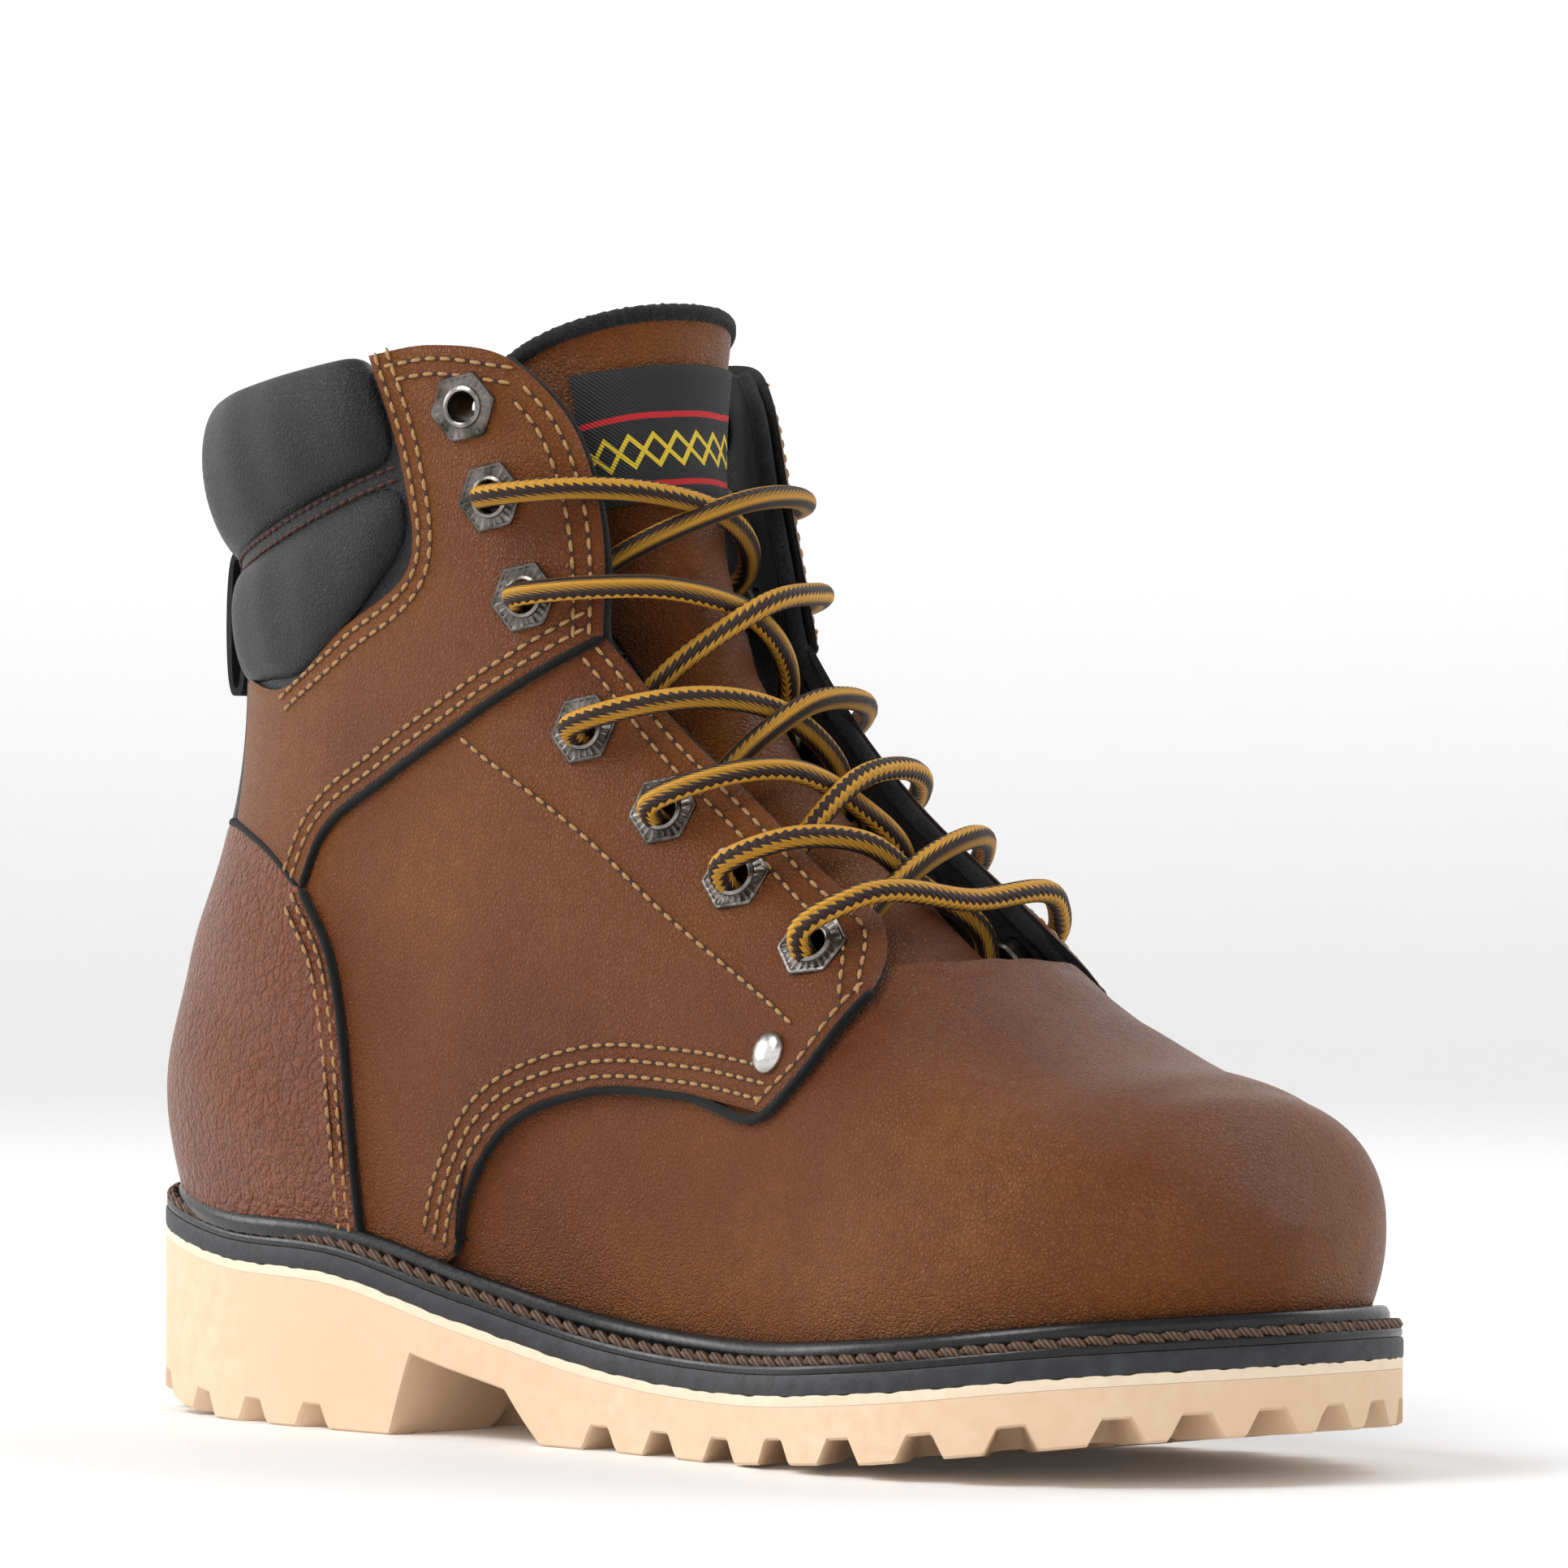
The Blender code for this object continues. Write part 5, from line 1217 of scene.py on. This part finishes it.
class BOOT_OT_collar(bpy.types.Operator):
    """Make the two padded collar rolls, the sewn channel between them and the pull loop"""

    bl_idname = "boot.collar"
    bl_label = "Collar"

    def execute(self, context):
        bulge = context.scene.boot_sizes.pad_bulge / MM
        upper = self.roll("collar_roll_upper", lambda u: channel_z(u) + 1.6,
                          lambda u: 206.5 + 8 * np.abs(u) ** 1.5, bulge,
                          "collar_pad_upper")
        lower = self.roll("collar_roll_lower", self.lower_edge, lambda u: channel_z(u) - 1.6, bulge * 0.8,
                          "collar_pad_lower")
        shell("collar_channel", wrapped(lambda z: self.border(z) + 3, lambda u: self.lower_edge(u) - 5,
                                        lambda u: 202 + 9 * np.abs(u)), (160, 60),
              (1.8, 2.6), ["black_leather", "black_leather", "black_leather"], "boot")
        lines = []
        u = np.linspace(-0.99, 0.99, 300)
        for shift in (-1.3, 1.3):
            path = resample(wrap_heel(self.border(channel_z(1.0) + 0 * u), channel_z(u) + shift, u), 0.7)
            normals = skin_normals(path)
            lines.append((path + normals * 1.9, normals))
        thread("channel_stitches", lines, 2.9, 2.5, 0.36, "red_thread", "boot")
        self.pull_loop()
        return {"FINISHED"}

    def border(self, z):
        return smooth(z, [146, 173, 192, 214], [-54, -52, -53, -60])

    def lower_edge(self, u):
        return smooth(np.abs(u), [0, 0.45, 0.62, 0.85, 1], [150, 150, 151, 162, 176])

    def roll(self, name, low, high, bulge, node_name):
        """A roll round the heel: its section is a superellipse, full outward and flatter inward."""
        rows, columns = 181, 48
        u = np.repeat(np.linspace(-1, 1, rows)[:, None], columns, 1)
        turn = np.repeat((np.arange(columns) / columns * 2 * math.pi)[None], rows, 0)
        rise = 0.5 - 0.5 * np.cos(turn)
        ends = np.clip(1 - np.abs(u) ** 60, 0, 1) ** 0.5
        middle = 0.5 + (rise - 0.5) * ends
        flat_u = u.ravel()
        z = low(flat_u) + (high(flat_u) - low(flat_u)) * middle.ravel()
        edge = 1 + 0 * flat_u
        edge_z = low(edge) + (high(edge) - low(edge)) * middle.ravel()
        base = wrap_heel(self.border(edge_z), z, flat_u).reshape(rows, columns, 3)
        out = base - np.stack([-82 + 0 * base[..., 0], 0 * base[..., 0], base[..., 2]], -1)
        out = unit(out * [1.0, 1.35, 0])
        tuck_in = 1 - 0.45 * np.clip((np.abs(u) - 0.9) / 0.1, 0, 1) ** 2
        fold = 1 + 0.06 * np.sin(u * 23) * np.sin(u * 9 + 1)
        outer = bulge * 1.1 * tuck_in * fold * np.abs(np.sin(turn)) ** 0.85
        inner = 5.5 * np.abs(np.sin(turn)) ** 0.7
        offset = np.where(np.sin(turn) > 0, outer, -inner) * ends + 0.3
        grid = base + out * offset[..., None]
        grid[[0, -1]] = grid[[0, -1]].mean(axis=1, keepdims=True)
        return loft(name, grid, ["black_leather"], "boot", [node_name], sharp=80)

    def pull_loop(self):
        """A folded strap: a flat section carried down the back, round the fold and up inside."""
        x0, _, z0 = [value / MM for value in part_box("pull_loop")[0]]
        x1, y1, z1 = [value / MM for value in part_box("pull_loop")[1]]
        turn = np.arange(96) / 96 * 2 * math.pi
        middle_x, middle_z = (x0 + x1) / 2, (z0 + z1) / 2
        half_x, half_z = (x1 - x0) / 2, (z1 - z0) / 2
        ring = []
        for size, y in ((0, -y1), (0, y1), (1.6, y1), (1.6, -y1)):
            shape_x = np.sign(np.cos(turn)) * np.abs(np.cos(turn)) ** 0.6
            ring.append(np.stack([middle_x + (half_x + 0.6 - size) * shape_x, y + 0 * turn,
                                  middle_z + (half_z - size) * np.sin(turn)], -1))
        return loft("pull_strap", np.stack(ring, 1), ["webbing"], "boot", ["pull_loop"], sharp=40,
                    round_first=False)


def channel_z(u):
    """The stitched channel between the two collar rolls."""
    return 172 + 19 * np.abs(u) ** 1.6


class BOOT_OT_tongue(bpy.types.Operator):
    """Make the tongue, its felt lining with the raised edge, and the woven label"""

    bl_idname = "boot.tongue"
    bl_label = "Tongue"

    def execute(self, context):
        shell("tongue_leather", on_tongue(0.1, 0.985, 1.0, 0, 0.035), (110, 190), (0.2, 1.8),
              ["brown_leather", "flesh_side", "cut_edge"], "tongue", ["tongue"], rounding=1.4,
              relief=self.folds)
        felt = shell("tongue_felt", on_tongue(0.115, 0.988, 0.99, 0, 0.035), (70, 120), (-1.7, 5.2),
                     ["black_felt", "black_felt", "black_felt"], "tongue", ["tongue_lining"], rounding=1.2)
        u = np.linspace(0.015, 0.985, 160)
        rim = resample(on_tongue(0.1, 0.985, 1.0, -0.6, 0.035)(u, 1 + 0 * u), 0.5)
        fuzz = 0.22 * np.sin(np.arange(len(rim)) * 2.1) * np.sin(np.arange(len(rim)) * 0.83)
        upright = np.broadcast_to([0.0, 0.0, 1.0], rim.shape)
        piping("tongue_felt_edge", [(rim + upright * fuzz[:, None], upright)], 1.7, 1.8, "black_felt",
               "tongue")
        shell("tongue_badge", on_tongue(0.79, 0.925, 0.52, 1.9, turn_by=-0.12), (60, 50), (0, 0.9),
              ["label", "label", "label"],
              "tongue", ["tongue_label"], rounding=0.3)
        return {"FINISHED"}

    def folds(self, points, edge):
        """Soft cross folds where the tongue bends at the ankle: slow waves up its length."""
        z = points[..., 2]
        waves = np.sin(z / 3.1 + 0.05 * points[..., 1]) + 0.6 * np.sin(z / 1.9 + 0.12 * points[..., 1])
        return 0.22 * waves * np.clip(1 - np.abs(z - 150) / 45, 0, 1)


class BOOT_OT_fittings(bpy.types.Operator):
    """Make the hexagonal eyelets and the domed rivets"""

    bl_idname = "boot.fittings"
    bl_label = "Fittings"

    def execute(self, context):
        for label, side in SIDES.items():
            for number, spot in enumerate(EYELETS, 1):
                skin = SHAFT_SKIN if number < 4 else QUARTER_SKIN
                self.eyelet(f"eyelet_{label}_{number}", spot, side, skin[0])
            self.rivet(f"rivet_{label}", side)
        return {"FINISHED"}

    def turned(self, name, seat, section, turns, looks, stands_for, rows_bright, sharp):
        """A ring or dome: the section's radii and heights carried round the fitting's axis."""
        origin, first, second, normal = seat
        turn = np.arange(turns) / turns * 2 * math.pi
        rows = [np.stack([radius * np.cos(turn), radius * np.sin(turn), z + 0 * turn], -1) for radius,
                z in section(turn)]
        grid = np.stack(rows)
        grid = origin + grid[..., :1] * first + grid[..., 1:2] * second + grid[..., 2:] * normal
        closed = not np.allclose(rows[0][:, :2], 0)
        cells = (len(rows) if closed else len(rows) - 1, turns)
        kinds = np.repeat([1 if row in rows_bright else 0 for row in range(cells[0])], turns)
        return loft(name, grid, looks, "boot", stands_for, kinds, sharp, round_first=not closed)

    def eyelet(self, name, spot, side, height):
        def section(turn):
            sector = (turn + math.pi / 6) % (math.pi / 3) - math.pi / 6
            hexagon = np.minimum(EYELET_FLAT / np.cos(sector), EYELET_FLAT * 1.13)
            ticks = 0.14 * np.clip(np.sin(turn * 24) * 3, 0, 1)
            bore, rim = EYELET_BORE, EYELET_BORE + 1.1
            return [(bore + 0 * turn, 0.4), (bore + 0.15 + 0 * turn, 0.95), (bore + 0.5 + 0 * turn, 1.2),
                    (rim + 0 * turn, 0.85), (rim + 0.15 + 0 * turn, 0.5),
                    (rim + 0.4 + 0 * turn, 0.45 + ticks),
                    (hexagon - 0.9, 0.45 + ticks), (hexagon - 0.7, 0.68), (hexagon - 0.2, 0.66),
                    (hexagon, 0.4),
                    (hexagon, 0.0), (bore + 0.6 + 0 * turn, -0.2), (bore + 0.6 + 0 * turn, -8.0),
                    (bore + 1.9 + 0 * turn, -8.2), (bore + 1.6 + 0 * turn, -8.9), (bore + 0 * turn, -8.9)]

        self.turned(f"{name}_ring", seat(spot, side, height), section, 120, ["antique_metal", "rubbed_metal"],
                    [name], (0, 1, 2), 35)

    def rivet(self, name, side):
        def section(turn):
            arc = [(4.1 * math.sin(a) + 0 * turn, 0.5 + 1.7 * math.cos(a)) for a in np.linspace(0,
                math.pi / 2, 9)]
            return arc + [(4.1 + 0 * turn, 0.1), (1.4 + 0 * turn, 0.0), (1.4 + 0 * turn, -6.0),
                          (0 * turn, -6.0)]

        self.turned(f"{name}_cap", seat(RIVET, side, QUARTER_SKIN[0]), section, 48, ["bright_metal"],
                    [name], (), 40)


class BOOT_OT_lace(bpy.types.Operator):
    """Make the striped lace along its route, and finish its tips"""

    bl_idname = "boot.lace"
    bl_label = "Lace"

    def execute(self, context):
        path = self.route()
        path_mm = path / MM
        normals = unit(np.cross(np.gradient(path_mm, axis=0), [0.31, 0.17, 0.93]))
        grid = rod_sections(path_mm, self.steady(path_mm, normals[0]), LACE_RADIUS, LACE_RADIUS, 16, 1.6)
        lace = loft("striped_lace", grid, ["lace"], "boot", ["lace"], sharp=80)
        tips = [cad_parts["aglet_a"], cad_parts["aglet_b"]]
        for tip in tips:
            tip.data.materials.clear()
            tip.data.materials.append(LOOKS["aglet"]())
        return {"FINISHED"}

    def route(self):
        """A smooth curve through the route's points, read at even steps."""
        points = np.asarray(LACE_POINTS)
        at = np.concatenate([[0], np.cumsum(np.linalg.norm(np.diff(points, axis=0), axis=1))])
        dense = np.linspace(0, at[-1], 4000)
        curve = np.stack([smooth(dense, at, points[:, i]) for i in range(3)], -1)
        return resample(curve, 0.0009)

    def steady(self, path, first):
        """Normals carried along the path without twist: each is the last one, less its part along the
        path."""
        ahead = unit(np.gradient(path, axis=0))
        normals = np.empty_like(path)
        normal = first
        for number, direction in enumerate(ahead):
            normal = unit(normal - direction * (normal @ direction))
            normals[number] = normal
        return normals


class BOOT_OT_stage(bpy.types.Operator):
    """Make the pale studio bowl, the soft lights and the camera"""

    bl_idname = "boot.stage"
    bl_label = "Studio"

    def execute(self, context):
        self.bowl(context.scene.boot_colours.floor)
        world = bpy.data.worlds.new("surround")
        world.use_nodes = True
        background = world.node_tree.nodes["Background"]
        background.inputs["Color"].default_value = colour(context.scene.boot_colours.sky)
        background.inputs["Strength"].default_value = 0.42
        context.scene.world = world
        context.scene.view_settings.view_transform = "Standard"
        power = context.scene.boot_sizes.light
        self.light("main_softbox", (-0.5, -1.3, 1.9), 1.0, power)
        self.light("side_softbox", (-1.7, -0.9, 0.7), 0.8, power * 0.35)
        self.light("back_softbox", (0.2, 1.4, 1.5), 1.0, power * 0.35)
        self.camera(context)
        return {"FINISHED"}

    def bowl(self, tone):
        """A round floor whose rim curves up: a profile of radius and height turned about the upright axis."""
        floor = float(CAD_BOUNDS[0][2]) / MM
        arc = np.linspace(0, math.pi / 2, 12)
        radius = np.concatenate([[0.0, 700, 2500], 2500 + 1500 * np.sin(arc[1:]), [4000]])
        height = np.concatenate([[0.0, 0, 0], 1500 - 1500 * np.cos(arc[1:]), [3000]]) + floor
        turn = np.arange(96) / 96 * 2 * math.pi
        grid = np.stack([radius[:, None] * np.cos(turn), radius[:, None] * np.sin(turn),
                         height[:, None] + 0 * turn], -1)
        points, faces = grid.reshape(-1, 3), quads(*grid.shape[:2], close_columns=True)
        mesh = bpy.data.meshes.new("studio_bowl")
        mesh.from_pydata((points * MM).tolist(), [], faces.tolist())
        mesh.shade_smooth()
        made, tree, shader, place, _ = principled("pale_floor")
        cloud = node(tree, "ShaderNodeTexNoise", {"Vector": place, "Scale": 3.0})
        tree.links.new(blend_colours(tree, spread(tree, cloud.outputs["Fac"], 0, 1, 0, 0.04), colour(tone),
                       (0.8, 0.8, 0.8, 1)), shader.inputs["Base Color"])
        height = node(tree, "ShaderNodeSeparateXYZ", {0: place}).outputs[2]
        shader.inputs["Emission Color"].default_value = colour(tone)
        tree.links.new(spread(tree, height, 0.0, 0.5, 0.02, 0.42), shader.inputs["Emission Strength"])
        shader.inputs["Roughness"].default_value = 0.6
        mesh.materials.append(made)
        obj = bpy.data.objects.new("studio_bowl", mesh)
        bpy.context.scene.collection.objects.link(obj)

    def light(self, name, place, size, power):
        """A square soft light that faces the boot's middle."""
        lamp = bpy.data.lights.new(name, "AREA")
        lamp.size = size
        lamp.energy = power
        obj = bpy.data.objects.new(name, lamp)
        obj.location = place
        obj.rotation_mode = "QUATERNION"
        obj.rotation_quaternion = (Vector((0, 0, 0.1)) - Vector(place)).to_track_quat("-Z", "Y")
        bpy.context.scene.collection.objects.link(obj)

    def camera(self, context):
        """A long lens a little below level, turned towards the boot's outer front."""
        azimuth, elevation, distance = math.radians(44.5), math.radians(-0.693), 1.5003
        back = Vector((math.sin(azimuth) * math.cos(elevation), -math.cos(azimuth) * math.cos(elevation),
                       math.sin(elevation)))
        data = bpy.data.cameras.new("camera")
        data.sensor_width = 36.0
        data.lens = 175.96
        obj = bpy.data.objects.new("camera", data)
        obj.location = Vector((0.01377, 0.0, 0.12893)) + back * distance
        obj.rotation_mode = "QUATERNION"
        roll = Quaternion((0, 0, 1), math.radians(0.234))
        obj.rotation_quaternion = (-back).to_track_quat("-Z", "Y") @ roll
        context.scene.collection.objects.link(obj)
        context.scene.camera = obj


class BOOT_PT_panel(bpy.types.Panel):
    """Buttons for each part of the boot, and its sizes and colours"""

    bl_idname = "BOOT_PT_panel"
    bl_label = "Steel Toe Work Boot"
    bl_space_type = "VIEW_3D"
    bl_region_type = "UI"
    bl_category = "Boot"

    def draw(self, context):
        layout = self.layout
        for operator in OPERATORS:
            layout.operator(operator.bl_idname)
        for group in (context.scene.boot_sizes, context.scene.boot_colours):
            for name in group.__annotations__:
                layout.prop(group, name)


OPERATORS = (BOOT_OT_stage, BOOT_OT_lace, BOOT_OT_sole, BOOT_OT_upper, BOOT_OT_seams, BOOT_OT_collar,
             BOOT_OT_tongue,
             BOOT_OT_fittings)
CLASSES = (BootSizes, BootColours, *OPERATORS, BOOT_PT_panel)


def register():
    for kind in CLASSES:
        bpy.utils.register_class(kind)
    bpy.types.Scene.boot_sizes = bpy.props.PointerProperty(type=BootSizes)
    bpy.types.Scene.boot_colours = bpy.props.PointerProperty(type=BootColours)


def unregister():
    del bpy.types.Scene.boot_sizes
    del bpy.types.Scene.boot_colours
    for kind in reversed(CLASSES):
        bpy.utils.unregister_class(kind)


def main():
    register()
    for operator in OPERATORS:
        getattr(bpy.ops.boot, operator.bl_idname.split(".")[1])()


if __name__ == "__main__":
    main()
